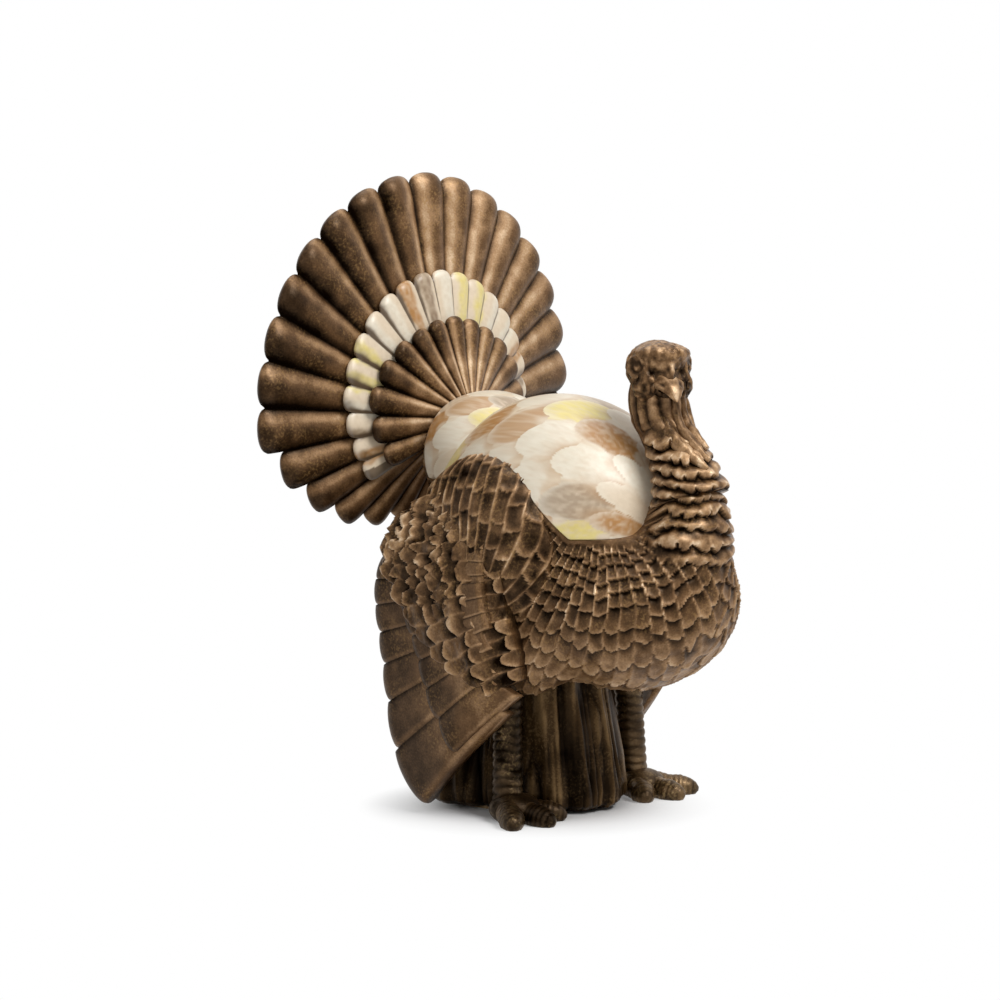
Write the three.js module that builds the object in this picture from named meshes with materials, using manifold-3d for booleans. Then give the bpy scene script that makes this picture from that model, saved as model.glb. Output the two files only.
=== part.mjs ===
// A strutting turkey figure for the table: hollow resin castings, pinned and glued together.
// Millimetres, +Z up. The bird faces -Y, so its right side is -X. The origin lies on the table,
// under the middle of the figure's box.
import * as THREE from 'three';
import Module from 'manifold-3d';
import { mergeVertices } from 'three/addons/utils/BufferGeometryUtils.js';

const wasm = await Module();
wasm.setup();

const vec = (x, y, z) => new THREE.Vector3(x, y, z);
const { degToRad: radians, lerp, clamp } = THREE.MathUtils;
const ACROSS = vec(1, 0, 0);
const UP = vec(0, 0, 1);

// Driving dimensions
const GLUE_GAP = 0.3; // clearance left for glue between two castings
const FAR = 400; // size of a cutter that has to reach right past the figure

const TORSO = {
  egg: { centre: vec(0, 8, 139), radii: vec(58, 68, 65) },
  breast: { centre: vec(0, -36, 104.5), radii: vec(53, 51, 44) },
  chest: { centre: vec(0, -62, 118), radii: vec(35, 32, 38) },
  collar: { centre: vec(0, -71, 146), radii: vec(22, 23, 26) },
  rump: { centre: vec(0, 55, 173), radii: vec(36, 36, 31) },
  thigh: { centre: vec(36, -2, 90), radii: vec(21, 28, 32) },
  heart: vec(0, -8, 122), // every point of the skin is in sight from here
  fillet: 12,
  wall: 11,
};

// The rows of breast feathers, and above them the folds of skin round the foot of the neck: rings about
// an upright axis, each hanging over the next
const PLUMAGE = {
  pole: vec(0, -0.15, 1).normalize(),
  folds: [58, 66, 74, 82], // degrees from the pole to the lower edge of each fold
  rows: [92, 105, 120, 137], // and of each row of feathers
  step: 1.6, // degrees from such an edge back to the root of the next row
  depth: 1.6, // how deep that root lies
  scallop: 2.5, // degrees that a row's edge swings up and down from feather to feather
  spokes: 32,
  inset: 0.6, // of the whole skin
};

// The two enamelled lobes of the back: the egg's part in front, and the rump's behind it
const SADDLE = {
  thickness: 4,
  // Side outline, as [y, z], of the enamelled part of the back
  outline: [[-60, 138], [24, 138], [60, 154], [110, 160], [110, 230], [-60, 230]],
};

const TAIL = {
  apex: vec(0, 58, 188.5), // where the lines of all the feathers meet
  length: 125.5, // from there to the tips
  sweep: radians(23.5), // how far the fan's cone leans back from upright
  dip: 18, // how far the fan is hollowed behind that cone, next to the rump
  tilt: radians(3), // how far the axis of the cone climbs towards the rear
  rise: 7, // how far the ring of the tips is shifted up from that axis
  width: 0.97, // of its height
  seat: 70, // the tail casting meets the body in the upright plane at this y
  tenonRadius: 11,
  tenonLength: 18,
  tenonHeight: 160,
};

// Sections of a feather from its near edge, at 0, to its far edge, at 1, as [place, share of the crown's
// height, share of the drop of the tip]
const RIDGED = [[0.03, 0.25, 0.85], [0.25, 0.45, 0.75], [0.42, 1, 0.1], [0.96, 0.3, 0.8]];
const KEELED = [[0.03, 0.25, 0.85], [0.4, 1, 0.1], [0.96, 0.3, 0.8]];
const ROUNDED = [[0.04, 0.1, 0.7], [0.5, 1, 0], [0.96, 0.1, 0.7]];
const LAPPED = [[0.03, 0.1, 0.6], [0.55, 0.7, 0], [0.96, 1, 0.7]];

// Each tier of the fan: feathers `step` degrees apart, `length` from the apex to the tip, the middle
// of their thickness `lift` in front of the fan's own
const TAIL_TIERS = {
  tail_fan: {
    count: 29, step: 12, length: TAIL.length, root: 18, lift: 0, thickness: 3.4, crown: 0.25, backCrown: 0.18,
    tipDrop: 5.5, shortFrom: 95, shortTo: 0.42, sideTo: 1, section: RIDGED, along: 4,
  },
  tail_band: {
    count: 21, step: 12, length: 77.5, root: 30, lift: 5.2, thickness: 1.8, crown: 0.2, backCrown: 0,
    tipDrop: 4, shortFrom: 80, shortTo: 0.9, sideTo: 1, section: ROUNDED, along: 3,
  },
  tail_coverts: {
    count: 15, step: 16.5, length: 54, root: 16, lift: 9.2, thickness: 2, crown: 0.26, backCrown: 0,
    tipDrop: 5, shortFrom: 90, shortTo: 0.9, sideTo: 1.18, section: KEELED, along: 3,
  },
};

const NECK = {
  // Centre line from the breast to the skull, as [y, z, half width]
  line: [
    [-74, 157, 19.3], [-69, 171, 15.4], [-63, 180, 13], [-56, 190, 12.6], [-53, 204, 13.4], [-52, 214, 11],
  ],
  tenonRadius: 8,
  tenonLength: 15,
  folds: 6, // rings of loose skin
  foldDepth: 0.9,
};

// The head's forms, measured from the middle of the skull while it looks straight ahead
const HEAD = {
  middle: vec(0, -52.5, 218.5),
  turn: radians(-24), // to the bird's right
  skull: { centre: vec(0, 0, 1), radii: vec(15, 15.5, 13) },
  brow: { centre: vec(0, -6.5, 5), radii: vec(14.5, 7.5, 3.8) },
  cheek: { centre: vec(8, -6, -7), radii: vec(7, 8, 7.5) },
  muzzle: { centre: vec(0, -11, -3), radii: vec(5.5, 6, 8) },
  jaw: { centre: vec(0, -9, -11), radii: vec(7, 8, 3.6) },
  eye: { centre: vec(12.4, -6, 1), radii: vec(3, 4.6, 5) },
  snood: { centre: vec(0, -14, 1), radii: vec(2.4, 4, 6) },
  beakLine: [[0, -8, -5], [0, -12.5, -7], [0, -16.5, -10.5], [0, -18.8, -15]],
  beakRadius: 5.2,
  beakWidth: 1.5, // times its height
  fillet: 2.5,
};

// The lobes of the wattle down the throat: the lines they hang along, and their half widths there
const WATTLES = [
  {
    line: [[-7.5, -58, 198], [-9, -62, 191], [-9.5, -68, 184.5], [-8.5, -76, 178], [-5, -87, 171]],
    widths: [2.2, 3.2, 4, 4.3, 1.6],
  },
  {
    line: [[-1, -65, 207], [-1, -67, 197], [-1.5, -69, 190], [-1.5, -75, 184], [-1, -84, 176]],
    widths: [2.6, 2.6, 3, 3.4, 1.6],
  },
  {
    line: [[6, -61, 207], [7.5, -64, 199], [7.5, -66, 192], [6, -71, 185], [4, -78, 179]],
    widths: [2.2, 3, 3.2, 3, 1.6],
  },
];

const LEG = {
  ankle: vec(47, 1.4, 7),
  knee: vec(44, 4, 76),
  radius: 5.8,
  scutes: 4,
  rodRadius: 2,
  rodTop: 68,
  // Toes, as [degrees outwards from straight ahead, length]
  toes: [[-34, 26], [2, 28], [40, 29], [-146, 14]],
  toeRadius: 4.9,
};

const STUMP = {
  centre: vec(0, 36, 0),
  radii: [41, 55], // half the width across the bird, and along it
  height: 92,
  flare: 1.09, // at the roots
  ridges: 13,
  ridgeDepth: 2,
  spigotRadius: 17,
  spigotHeight: 10,
  hollowTop: 60,
};

const BASE = { corkThickness: 1.5, plateThickness: 4, radius: 33 };

const WING = {
  shoulder: { centre: vec(-46, 13, 131), radii: vec(23, 47, 46) },
  hub: [-85, 129], // [y, z] where the lines of the feathers meet
  pins: [[-8, 126], [30, 118]], // [y, z] of the two pins that hold the wing
  pinRadius: 3,
  pinLength: 18,
};

// Each tier of a wing: feathers about the hub between two angles above the horizontal, with their
// lengths from the lowest up
const WING_TIERS = {
  flights: {
    lengths: [186, 180.5, 170, 164, 160.5, 161.5, 160.5, 155.5, 144], from: -40.3, to: 4, root: 84, lift: -2,
    thickness: 6, crown: 0.3, backCrown: 0, tipDrop: 5, section: LAPPED, along: 3,
  },
  coverts: {
    lengths: [114, 117.5, 122.5, 127.5, 132, 134, 134, 123], from: -42, to: 12, root: 76, lift: 0.5,
    thickness: 7.5, crown: 0.2, backCrown: 0, tipDrop: 5, section: LAPPED, along: 3,
  },
};

const FINISHES = {
  resin: { color: 0x5d4732, roughness: 0.6, metalness: 0 },
  bark: { color: 0x3d2c1b, roughness: 0.6, metalness: 0 },
  enamel: { color: 0xf2e6d0, roughness: 0.15, metalness: 0 },
  steel: { color: 0x9a9a9c, roughness: 0.35, metalness: 1 },
  cork: { color: 0xa98257, roughness: 0.9, metalness: 0 },
};

// Geometry helpers

function signedVolume(points, triangles) {
  return triangles.reduce((sum, [a, b, c]) => {
    const normal = points[b].clone().cross(points[c]);
    return sum + points[a].dot(normal) / 6;
  }, 0);
}

// A closed surface, turned so that its faces point out.
function closedGeometry(points, triangles) {
  const inward = signedVolume(points, triangles) < 0;
  const faces = inward ? triangles.map(([a, b, c]) => [a, c, b]) : triangles;
  const geometry = new THREE.BufferGeometry().setFromPoints(points);
  geometry.setIndex(faces.flat());
  return geometry;
}

function quad(a, b, c, d) {
  return [[a, b, c], [a, c, d]];
}

// A closed skin over rings of points with equal counts, each end closed by a fan about its middle.
function loft(rings) {
  const count = rings[0].length;
  const points = rings.flat();
  const triangles = [];
  for (let ring = 0; ring + 1 < rings.length; ring += 1) {
    for (let i = 0; i < count; i += 1) {
      const a = ring * count + i;
      const b = ring * count + ((i + 1) % count);
      triangles.push(...quad(a, b, b + count, a + count));
    }
  }
  for (const ring of [0, rings.length - 1]) {
    const middle = rings[ring].reduce((sum, p) => sum.add(p), vec(0, 0, 0)).divideScalar(count);
    points.push(middle);
    for (let i = 0; i < count; i += 1) {
      const a = ring * count + i;
      const b = ring * count + ((i + 1) % count);
      triangles.push(ring === 0 ? [points.length - 1, b, a] : [points.length - 1, a, b]);
    }
  }
  return closedGeometry(points, triangles);
}

// A ring of points about `middle`, round or oval, in the plane of two directions.
function ovalRing(middle, first, second, firstRadius, secondRadius, sides) {
  const points = [];
  for (let i = 0; i < sides; i += 1) {
    const turn = (2 * Math.PI * i) / sides;
    const point = middle.clone().addScaledVector(first, firstRadius * Math.cos(turn));
    points.push(point.addScaledVector(second, secondRadius * Math.sin(turn)));
  }
  return points;
}

// A solid, for joining and cutting.
function solid(geometry) {
  const bare = geometry.clone();
  bare.deleteAttribute('normal');
  bare.deleteAttribute('uv');
  const merged = mergeVertices(bare, 1e-4);
  const mesh = new wasm.Mesh({
    numProp: 3,
    vertProperties: merged.attributes.position.array,
    triVerts: new Uint32Array(merged.index.array),
  });
  return new wasm.Manifold(mesh);
}

// The geometry of a solid's main body, without the slivers that a cut can leave beside it.
function geometryOf(made) {
  const bodies = made.decompose();
  const main = bodies.reduce((best, body) => (body.volume() > best.volume() ? body : best));
  const mesh = main.getMesh();
  const geometry = new THREE.BufferGeometry();
  geometry.setAttribute('position', new THREE.BufferAttribute(mesh.vertProperties, 3));
  geometry.setIndex(new THREE.BufferAttribute(mesh.triVerts, 1));
  geometry.computeVertexNormals();
  return geometry;
}

const join = (solids) => solids.reduce((whole, one) => whole.add(one));
const cut = (whole, cutters) => cutters.reduce((left, cutter) => left.subtract(cutter), whole);

// A round rod from one point to another.
function rod(from, to, radius, sides = 16) {
  const along = to.clone().sub(from);
  const geometry = new THREE.CylinderGeometry(radius, radius, along.length(), sides);
  const turn = new THREE.Quaternion().setFromUnitVectors(vec(0, 1, 0), along.clone().normalize());
  geometry.applyQuaternion(turn);
  const middle = from.clone().add(to).multiplyScalar(0.5);
  geometry.translate(middle.x, middle.y, middle.z);
  return geometry;
}

function slab(low, high) {
  const size = high.clone().sub(low);
  const geometry = new THREE.BoxGeometry(size.x, size.y, size.z);
  const middle = low.clone().add(high).multiplyScalar(0.5);
  geometry.translate(middle.x, middle.y, middle.z);
  return geometry;
}

// Everything behind the upright plane at y, and everything below the level z
const spaceBehind = (y) => solid(slab(vec(-FAR, y, -FAR), vec(FAR, FAR, FAR)));
const spaceBelow = (z) => solid(slab(vec(-FAR, -FAR, -FAR), vec(FAR, FAR, z)));

// An outline in the side view, [[y, z], ...], carried right across the figure.
function sideSlab(outline) {
  const shape = new THREE.Shape(outline.map(([y, z]) => new THREE.Vector2(y, z)));
  const geometry = new THREE.ExtrudeGeometry(shape, { depth: FAR, bevelEnabled: false });
  geometry.applyMatrix4(new THREE.Matrix4().makeBasis(vec(0, 1, 0), UP, ACROSS));
  geometry.translate(-FAR / 2, 0, 0);
  return geometry;
}

// Rounded forms: distances to ellipsoids, run together with a fillet

function ellipsoidDistance(point, { centre, radii }) {
  const scaled = point.clone().sub(centre).divide(radii);
  const share = scaled.length();
  const slope = scaled.divide(radii).length();
  return slope > 0 ? (share * (share - 1)) / slope : -Math.min(radii.x, radii.y, radii.z);
}

function blendedDistance(point, forms, fillet) {
  return forms.map((form) => ellipsoidDistance(point, form)).reduce((a, b) => {
    const overlap = Math.max(fillet - Math.abs(a - b), 0) / fillet;
    return Math.min(a, b) - (overlap * overlap * fillet) / 4;
  });
}

// A form and its mirror image on the other side of the bird.
function bothSides({ centre, radii }) {
  return [-1, 1].map((side) => ({ centre: centre.clone().multiply(vec(side, 1, 1)), radii }));
}

// Evenly spaced levels between the poles of a rounded form.
function evenLevels(rings) {
  return Array.from({ length: rings - 1 }, (_, i) => {
    const fall = (Math.PI * (i + 1)) / rings;
    return { fall: () => fall, depth: () => 0 };
  });
}

// The closed surface at `offset` from blended forms that are all in sight of `centre`, as rings of
// points about the direction of the `pole`. Each level has its fall from the pole at a spoke, and the
// depth of its points below the surface. The facets of the two sides mirror each other.
function roundedForm({
  forms, fillet = 1, centre, pole = UP, rings, levels = evenLevels(rings), spokes, offset = 0,
}) {
  const rear = pole.clone().cross(ACROSS).normalize();
  const surfacePoint = (direction) => {
    let near = 0;
    let far = FAR / 2;
    for (let step = 0; step < 30; step += 1) {
      const middle = (near + far) / 2;
      const point = centre.clone().addScaledVector(direction, middle);
      if (blendedDistance(point, forms, fillet) < offset) near = middle;
      else far = middle;
    }
    return centre.clone().addScaledVector(direction, near);
  };
  const points = [surfacePoint(pole)];
  for (const { fall, depth } of levels) {
    for (let spoke = 0; spoke < spokes; spoke += 1) {
      const turn = (2 * Math.PI * spoke) / spokes;
      const aside = ACROSS.clone().multiplyScalar(Math.cos(turn)).addScaledVector(rear, Math.sin(turn));
      const direction = pole.clone().multiplyScalar(Math.cos(fall(spoke)));
      direction.addScaledVector(aside, Math.sin(fall(spoke)));
      const point = surfacePoint(direction);
      points.push(point.addScaledVector(direction, -depth(point)));
    }
  }
  points.push(surfacePoint(pole.clone().negate()));
  const last = points.length - 1;
  const at = (ring, spoke) => 1 + ring * spokes + (spoke % spokes);
  const triangles = [];
  for (let spoke = 0; spoke < spokes; spoke += 1) {
    triangles.push([0, at(0, spoke), at(0, spoke + 1)]);
    triangles.push([last, at(levels.length - 1, spoke + 1), at(levels.length - 1, spoke)]);
    for (let ring = 0; ring + 1 < levels.length; ring += 1) {
      const corners = [at(ring, spoke), at(ring + 1, spoke), at(ring + 1, spoke + 1), at(ring, spoke + 1)];
      const onRight = Math.cos((2 * Math.PI * (spoke + 0.5)) / spokes) < 0;
      triangles.push(...quad(...(onRight ? [...corners.slice(1), corners[0]] : corners)));
    }
  }
  return closedGeometry(points, triangles);
}

// A tier of feathers side by side as one casting, each with the tier's section. `place` gives the point
// at an angle round the fan, a reach along the feather and a height above the tier's middle. The far
// edge of a feather points the way it leans.
function featherTier({ feathers, tier, place }) {
  const columns = feathers.flatMap((feather) => {
    const section = feather.lean < 0 ? tier.section.toReversed() : tier.section;
    return section.map(([share, bulge, drop]) => {
      return { ...feather, across: (2 * share - 1) * feather.lean, bulge, drop };
    });
  });
  const facePoint = ({ angle, halfStep, length, across, bulge, drop }, share, side) => {
    const reach = lerp(tier.root, length - drop * tier.tipDrop, share);
    const roundOff = Math.sqrt(1 - 0.96 * Math.max(0, (share - 0.86) / 0.14) ** 2);
    const crown = (side > 0 ? tier.crown : tier.backCrown) * reach * halfStep * bulge;
    return place(angle + across * halfStep, reach, side * (tier.thickness / 2 + crown) * roundOff);
  };
  const shares = Array.from({ length: tier.along }, (_, j) => 1 - (1 - j / (tier.along - 1)) ** 1.9);
  const rings = columns.map((column) => [
    ...shares.map((share) => facePoint(column, share, 1)),
    ...shares.toReversed().map((share) => facePoint(column, share, -1)),
  ]);
  return solid(loft(rings));
}

// Torso and the enamelled saddle on its back

const FRONT_FORMS = [TORSO.breast, TORSO.chest, TORSO.collar];
const TORSO_FORMS = [TORSO.egg, TORSO.rump, ...FRONT_FORMS, ...bothSides(TORSO.thigh)];
const COLLAR_POLE = TORSO.collar.centre.clone().sub(TORSO.heart).normalize();
const NECK_BASE = vec(0, NECK.line[0][0], NECK.line[0][1]);
const NECK_AXIS = vec(0, NECK.line[1][0], NECK.line[1][1]).sub(NECK_BASE).normalize();
const NECK_TENON_END = NECK_BASE.clone().addScaledVector(NECK_AXIS, -NECK.tenonLength);
const TAIL_TENON_END = vec(0, TAIL.seat - TAIL.tenonLength, TAIL.tenonHeight);
const SPIGOT_TOP = STUMP.height + STUMP.spigotHeight;

function torsoSkin(offset, rings = 16, spokes = 28) {
  return solid(roundedForm({
    forms: TORSO_FORMS, fillet: TORSO.fillet, centre: TORSO.heart, pole: COLLAR_POLE, rings, spokes, offset,
  }));
}

const onCollar = (point) => ellipsoidDistance(point, TORSO.collar) < 4 && point.z > 124;
const onBreast = (point) => point.z < SADDLE.outline[0][1] - 4;

// The torso's skin at `offset` with the folds below the neck and the rows of breast feathers.
function featheredSkin(offset) {
  const plain = (degrees) => ({ fall: () => radians(degrees), depth: () => 0 });
  const edgeAndRoot = (degrees, scallop, shows, row) => [0, 1].map((root) => ({
    fall: (spoke) => radians(degrees + root * PLUMAGE.step + scallop * ((spoke + row) % 2 ? 1 : -1)),
    depth: (point) => (root && shows(point) ? PLUMAGE.depth : 0),
  }));
  const levels = [
    ...[22, 44].map(plain),
    ...PLUMAGE.folds.flatMap((degrees, row) => edgeAndRoot(degrees, 0, onCollar, row)),
    ...PLUMAGE.rows.flatMap((degrees, row) => edgeAndRoot(degrees, PLUMAGE.scallop, onBreast, row)),
    ...[158].map(plain),
  ];
  return solid(roundedForm({
    forms: TORSO_FORMS, fillet: TORSO.fillet, centre: TORSO.heart, pole: PLUMAGE.pole, levels,
    spokes: PLUMAGE.spokes, offset: offset - PLUMAGE.inset,
  }));
}

function eggSkin(offset) {
  return solid(roundedForm({ forms: [TORSO.egg], centre: TORSO.egg.centre, rings: 12, spokes: 20, offset }));
}

function rumpSkin(offset) {
  return solid(roundedForm({ forms: [TORSO.rump], centre: TORSO.rump.centre, rings: 8, spokes: 16, offset }));
}

const saddleSkins = (offset) => [eggSkin(offset), rumpSkin(offset)];

// The breast and the collar above it, which the saddle is fitted round.
function frontSkin(offset) {
  return solid(roundedForm({
    forms: FRONT_FORMS, fillet: TORSO.fillet, centre: vec(0, -58, 125), pole: COLLAR_POLE, rings: 10,
    spokes: 20, offset,
  }));
}

// The block of space that the saddle takes up, grown by `gap` all round.
function saddleRegion(gap) {
  const grown = SADDLE.outline.map(([y, z]) => [y + gap * Math.sign(y), z < 200 ? z - gap : z + gap]);
  return solid(sideSlab(grown));
}

// The room for the neck above its joint with the breast.
function neckSpace() {
  return rod(NECK_BASE, NECK_BASE.clone().addScaledVector(NECK_AXIS, 70), NECK.line[0][2], 28);
}

function makeTorso() {
  const cavity = torsoSkin(-TORSO.wall, 8, 12);
  const recess = cut(saddleRegion(GLUE_GAP), [...saddleSkins(-SADDLE.thickness - GLUE_GAP), frontSkin(0)]);
  const belly = STUMP.centre;
  const holes = [
    neckSpace(),
    rod(belly, belly.clone().setZ(SPIGOT_TOP + 10), STUMP.spigotRadius + GLUE_GAP, 20),
    rod(TAIL_TENON_END, vec(0, FAR, TAIL.tenonHeight), TAIL.tenonRadius + GLUE_GAP, 18),
    rod(NECK_TENON_END, NECK_BASE.clone().addScaledVector(NECK_AXIS, 10), NECK.tenonRadius + GLUE_GAP, 14),
  ];
  for (const side of [-1, 1]) {
    holes.push(rod(ankle(side), legRodTop(side), LEG.rodRadius + GLUE_GAP, 10));
    for (const [y, z] of WING.pins) {
      holes.push(rod(vec(0, y, z), vec(side * FAR, y, z), WING.pinRadius + GLUE_GAP, 12));
    }
  }
  return cut(featheredSkin(0), [cavity, recess, spaceBehind(TAIL.seat), ...holes.map(solid)]);
}

function makeBackSaddle() {
  const lobe = eggSkin(0).intersect(saddleRegion(0));
  return cut(lobe, [...saddleSkins(-SADDLE.thickness), frontSkin(GLUE_GAP)]);
}

function makeRumpSaddle() {
  const lobe = rumpSkin(0).intersect(saddleRegion(0));
  return cut(lobe, [rumpSkin(-SADDLE.thickness), eggSkin(GLUE_GAP), spaceBehind(TAIL.seat)]);
}

// Tail

// The point of the fan at `angle` from upright, towards the bird's left.
function fanPoint(angle, reach, height) {
  const front = height - TAIL.dip * (1 - (reach / TAIL.length) ** 2);
  const radius = reach * Math.cos(TAIL.sweep) + front * Math.sin(TAIL.sweep);
  const back = reach * Math.sin(TAIL.sweep) - front * Math.cos(TAIL.sweep);
  const shift = TAIL.rise * (reach / TAIL.length);
  const point = vec(TAIL.width * radius * Math.sin(angle), back, radius * Math.cos(angle) + shift);
  return point.applyAxisAngle(ACROSS, TAIL.tilt).add(TAIL.apex);
}

function tailTier(tier) {
  const halfStep = radians(tier.step / 2);
  const last = ((tier.count - 1) / 2) * tier.step;
  const feathers = [];
  for (let turn = -last; turn <= last; turn += tier.step) {
    const lowness = Math.max(0, Math.abs(turn) - tier.shortFrom) / (last - tier.shortFrom);
    const aside = THREE.MathUtils.smoothstep(Math.abs(turn), 20, 90);
    const length = tier.length * lerp(1, tier.shortTo, lowness) * lerp(1, tier.sideTo, aside);
    feathers.push({ angle: radians(turn), halfStep, length, lean: turn < 0 ? -1 : 1 });
  }
  const place = (angle, reach, height) => fanPoint(angle, reach, tier.lift + height);
  return featherTier({ feathers, tier, place });
}

// The outer fan, with the rear of the rump that carries it and the tenon that goes into the body.
function makeTailFan() {
  const rear = torsoSkin(0).intersect(spaceBehind(TAIL.seat + GLUE_GAP));
  const tenonEnd = TAIL_TENON_END.clone().add(vec(0, GLUE_GAP, 0));
  const tenon = rod(tenonEnd, vec(0, TAIL.seat + 8, TAIL.tenonHeight), TAIL.tenonRadius, 18);
  return join([tailTier(TAIL_TIERS.tail_fan), rear, solid(tenon)]);
}

// An inner tier of the fan, cut to sit round the rump.
function makeInnerTier(tier) {
  return cut(tailTier(tier), [torsoSkin(GLUE_GAP), ...saddleSkins(GLUE_GAP)]);
}

// Neck and head

function makeNeckAndHead() {
  const curve = new THREE.CatmullRomCurve3(NECK.line.map(([y, z]) => vec(0, y, z)));
  const widths = NECK.line.map(([, , width]) => width);
  const ringCount = 2 * NECK.folds + 1;
  const rings = [];
  for (let ring = 0; ring < ringCount; ring += 1) {
    const share = ring / (ringCount - 1);
    const front = ACROSS.clone().cross(curve.getTangent(share)).normalize();
    const knot = clamp(share * (widths.length - 1), 0, widths.length - 1.001);
    const width = lerp(widths[Math.floor(knot)], widths[Math.floor(knot) + 1], knot % 1);
    const radius = width + NECK.foldDepth * (ring % 2 ? 1 : -1);
    rings.push(ovalRing(curve.getPoint(share), ACROSS, front, radius, radius, 12));
  }
  for (const point of rings[0]) point.addScaledVector(NECK_AXIS, GLUE_GAP);
  const tenonFrom = NECK_TENON_END.clone().addScaledVector(NECK_AXIS, GLUE_GAP);
  const tenon = rod(tenonFrom, NECK_BASE.clone().addScaledVector(NECK_AXIS, 4), NECK.tenonRadius, 14);
  const wattles = WATTLES.map(({ line, widths }) => solid(taperedTube(line, widths, 6)));
  const neck = join([solid(loft(rings)), solid(tenon), makeHead(), ...wattles]);
  return cut(neck, [eggSkin(GLUE_GAP)]);
}

function makeHead() {
  const { skull, brow, snood, muzzle, jaw, cheek, eye } = HEAD;
  const face = roundedForm({
    forms: [skull, brow, snood, muzzle, jaw, ...bothSides(cheek), ...bothSides(eye)], fillet: HEAD.fillet,
    centre: vec(0, -4, -2), rings: 11, spokes: 16,
  });
  const beak = taperedTube(HEAD.beakLine, [0, 0.35, 0.6, 0.82, 1].map((share) => (
    HEAD.beakRadius * (1 - share ** 1.5) ** 0.8 + 0.35
  )), 8);
  beak.scale(HEAD.beakWidth, 1, 1);
  return join([face, beak].map((geometry) => {
    geometry.rotateZ(HEAD.turn);
    return solid(geometry.translate(...HEAD.middle));
  }));
}

// A tube along a smooth line, with its radii evenly spread from one end to the other.
function taperedTube(line, radii, sides) {
  const curve = new THREE.CatmullRomCurve3(line.map((point) => vec(...point)));
  const frames = curve.computeFrenetFrames(radii.length - 1, false);
  return loft(radii.map((radius, ring) => {
    const middle = curve.getPointAt(ring / (radii.length - 1));
    return ovalRing(middle, frames.normals[ring], frames.binormals[ring], radius, radius, sides);
  }));
}

// Wings

// How far the outer face of the wing stands from the middle of the bird, at [y, z] in the side view.
function wingReach(y, z) {
  const shoulder = 0.0056 * Math.max(0, z - 112) ** 2;
  const tip = 0.0011 * Math.max(0, 80 - z) ** 2;
  const forward = 2 - y - 0.45 * (z - 83);
  const front = 0.02 * Math.max(0, forward) ** 2;
  return 68 - shoulder - tip - front;
}

function wingTier(tier) {
  const last = tier.lengths.length - 1;
  const halfStep = radians((tier.to - tier.from) / last / 2);
  const feathers = tier.lengths.map((length, k) => {
    const angle = radians(lerp(tier.from, tier.to, k / last));
    return { angle, halfStep, length, lean: -1 };
  });
  const place = (angle, reach, height) => {
    const y = WING.hub[0] + reach * Math.cos(angle);
    const z = WING.hub[1] + reach * Math.sin(angle);
    return vec(-wingReach(y, z) - tier.lift - height, y, z);
  };
  return featherTier({ feathers, tier, place });
}

// The outer end of a wing pin's hole
const pinEnd = ([y, z]) => vec(-wingReach(y, z) + 4, y, z);

function makeWing() {
  const { shoulder } = WING;
  const dome = roundedForm({ forms: [shoulder], centre: shoulder.centre, rings: 10, spokes: 14 });
  const casting = join([solid(dome), ...Object.values(WING_TIERS).map(wingTier)]);
  const holes = WING.pins.map((pin) => {
    const end = pinEnd(pin);
    return solid(rod(end.clone().setX(0), end, WING.pinRadius + GLUE_GAP, 12));
  });
  return cut(casting, [torsoSkin(GLUE_GAP), ...saddleSkins(GLUE_GAP), spaceBelow(2), ...holes]);
}

function makeWingPin(pin) {
  const end = pinEnd(pin).add(vec(GLUE_GAP, 0, 0));
  return rod(end.clone().add(vec(WING.pinLength, 0, 0)), end, WING.pinRadius, 12);
}

// Legs and feet

// Places on the leg of one side: 1 for the bird's left, -1 for its right
const ankle = (side) => LEG.ankle.clone().multiply(vec(side, 1, 1));
const knee = (side) => LEG.knee.clone().multiply(vec(side, 1, 1));
const legRodTop = (side) => knee(side).setZ(LEG.rodTop);

function makeLeg(side) {
  const ringCount = 2 * LEG.scutes + 1;
  const rings = [];
  for (let ring = 0; ring < ringCount; ring += 1) {
    const share = ring / (ringCount - 1);
    const swell = lerp(1.1, 1, share) + 0.5 * Math.max(0, share - 0.7);
    const radius = LEG.radius * swell + (ring % 2 ? 0.35 : -0.2);
    const middle = ankle(side).lerp(knee(side), share);
    rings.push(ovalRing(middle, ACROSS, vec(0, 1, 0), 0.9 * radius, 1.1 * radius, 8));
  }
  const toes = LEG.toes.map(([outwards, length]) => makeToe(ankle(side), side * radians(outwards), length));
  const rodHole = rod(ankle(side), legRodTop(side), LEG.rodRadius + GLUE_GAP, 10);
  const cutters = [featheredSkin(GLUE_GAP), stumpSkin(GLUE_GAP), solid(rodHole), spaceBelow(0)];
  return cut(join([solid(loft(rings)), ...toes]), cutters);
}

// A toe with two knuckles and a claw, resting on the table.
function makeToe(root, angle, length) {
  const heading = vec(Math.sin(angle), -Math.cos(angle), 0);
  const across = vec(Math.cos(angle), Math.sin(angle), 0);
  // [share of the length, share of the radius]
  const profile = [[-0.1, 1], [0.3, 1.02], [0.5, 0.84], [0.7, 0.9], [1, 0.25]];
  const rings = profile.map(([share, swell]) => {
    const radius = LEG.toeRadius * swell;
    const middle = root.clone().addScaledVector(heading, share * length);
    middle.z = lerp(4.5, 1.2, Math.max(0, share));
    return ovalRing(middle, across, UP, radius, radius, 6);
  });
  return solid(loft(rings));
}

function makeLegRod(side) {
  const heading = legRodTop(side).sub(ankle(side)).normalize();
  const from = ankle(side).addScaledVector(heading, GLUE_GAP);
  return rod(from, legRodTop(side).addScaledVector(heading, -GLUE_GAP), LEG.rodRadius, 10);
}

// Stump, with the plate and the cork under it

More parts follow.
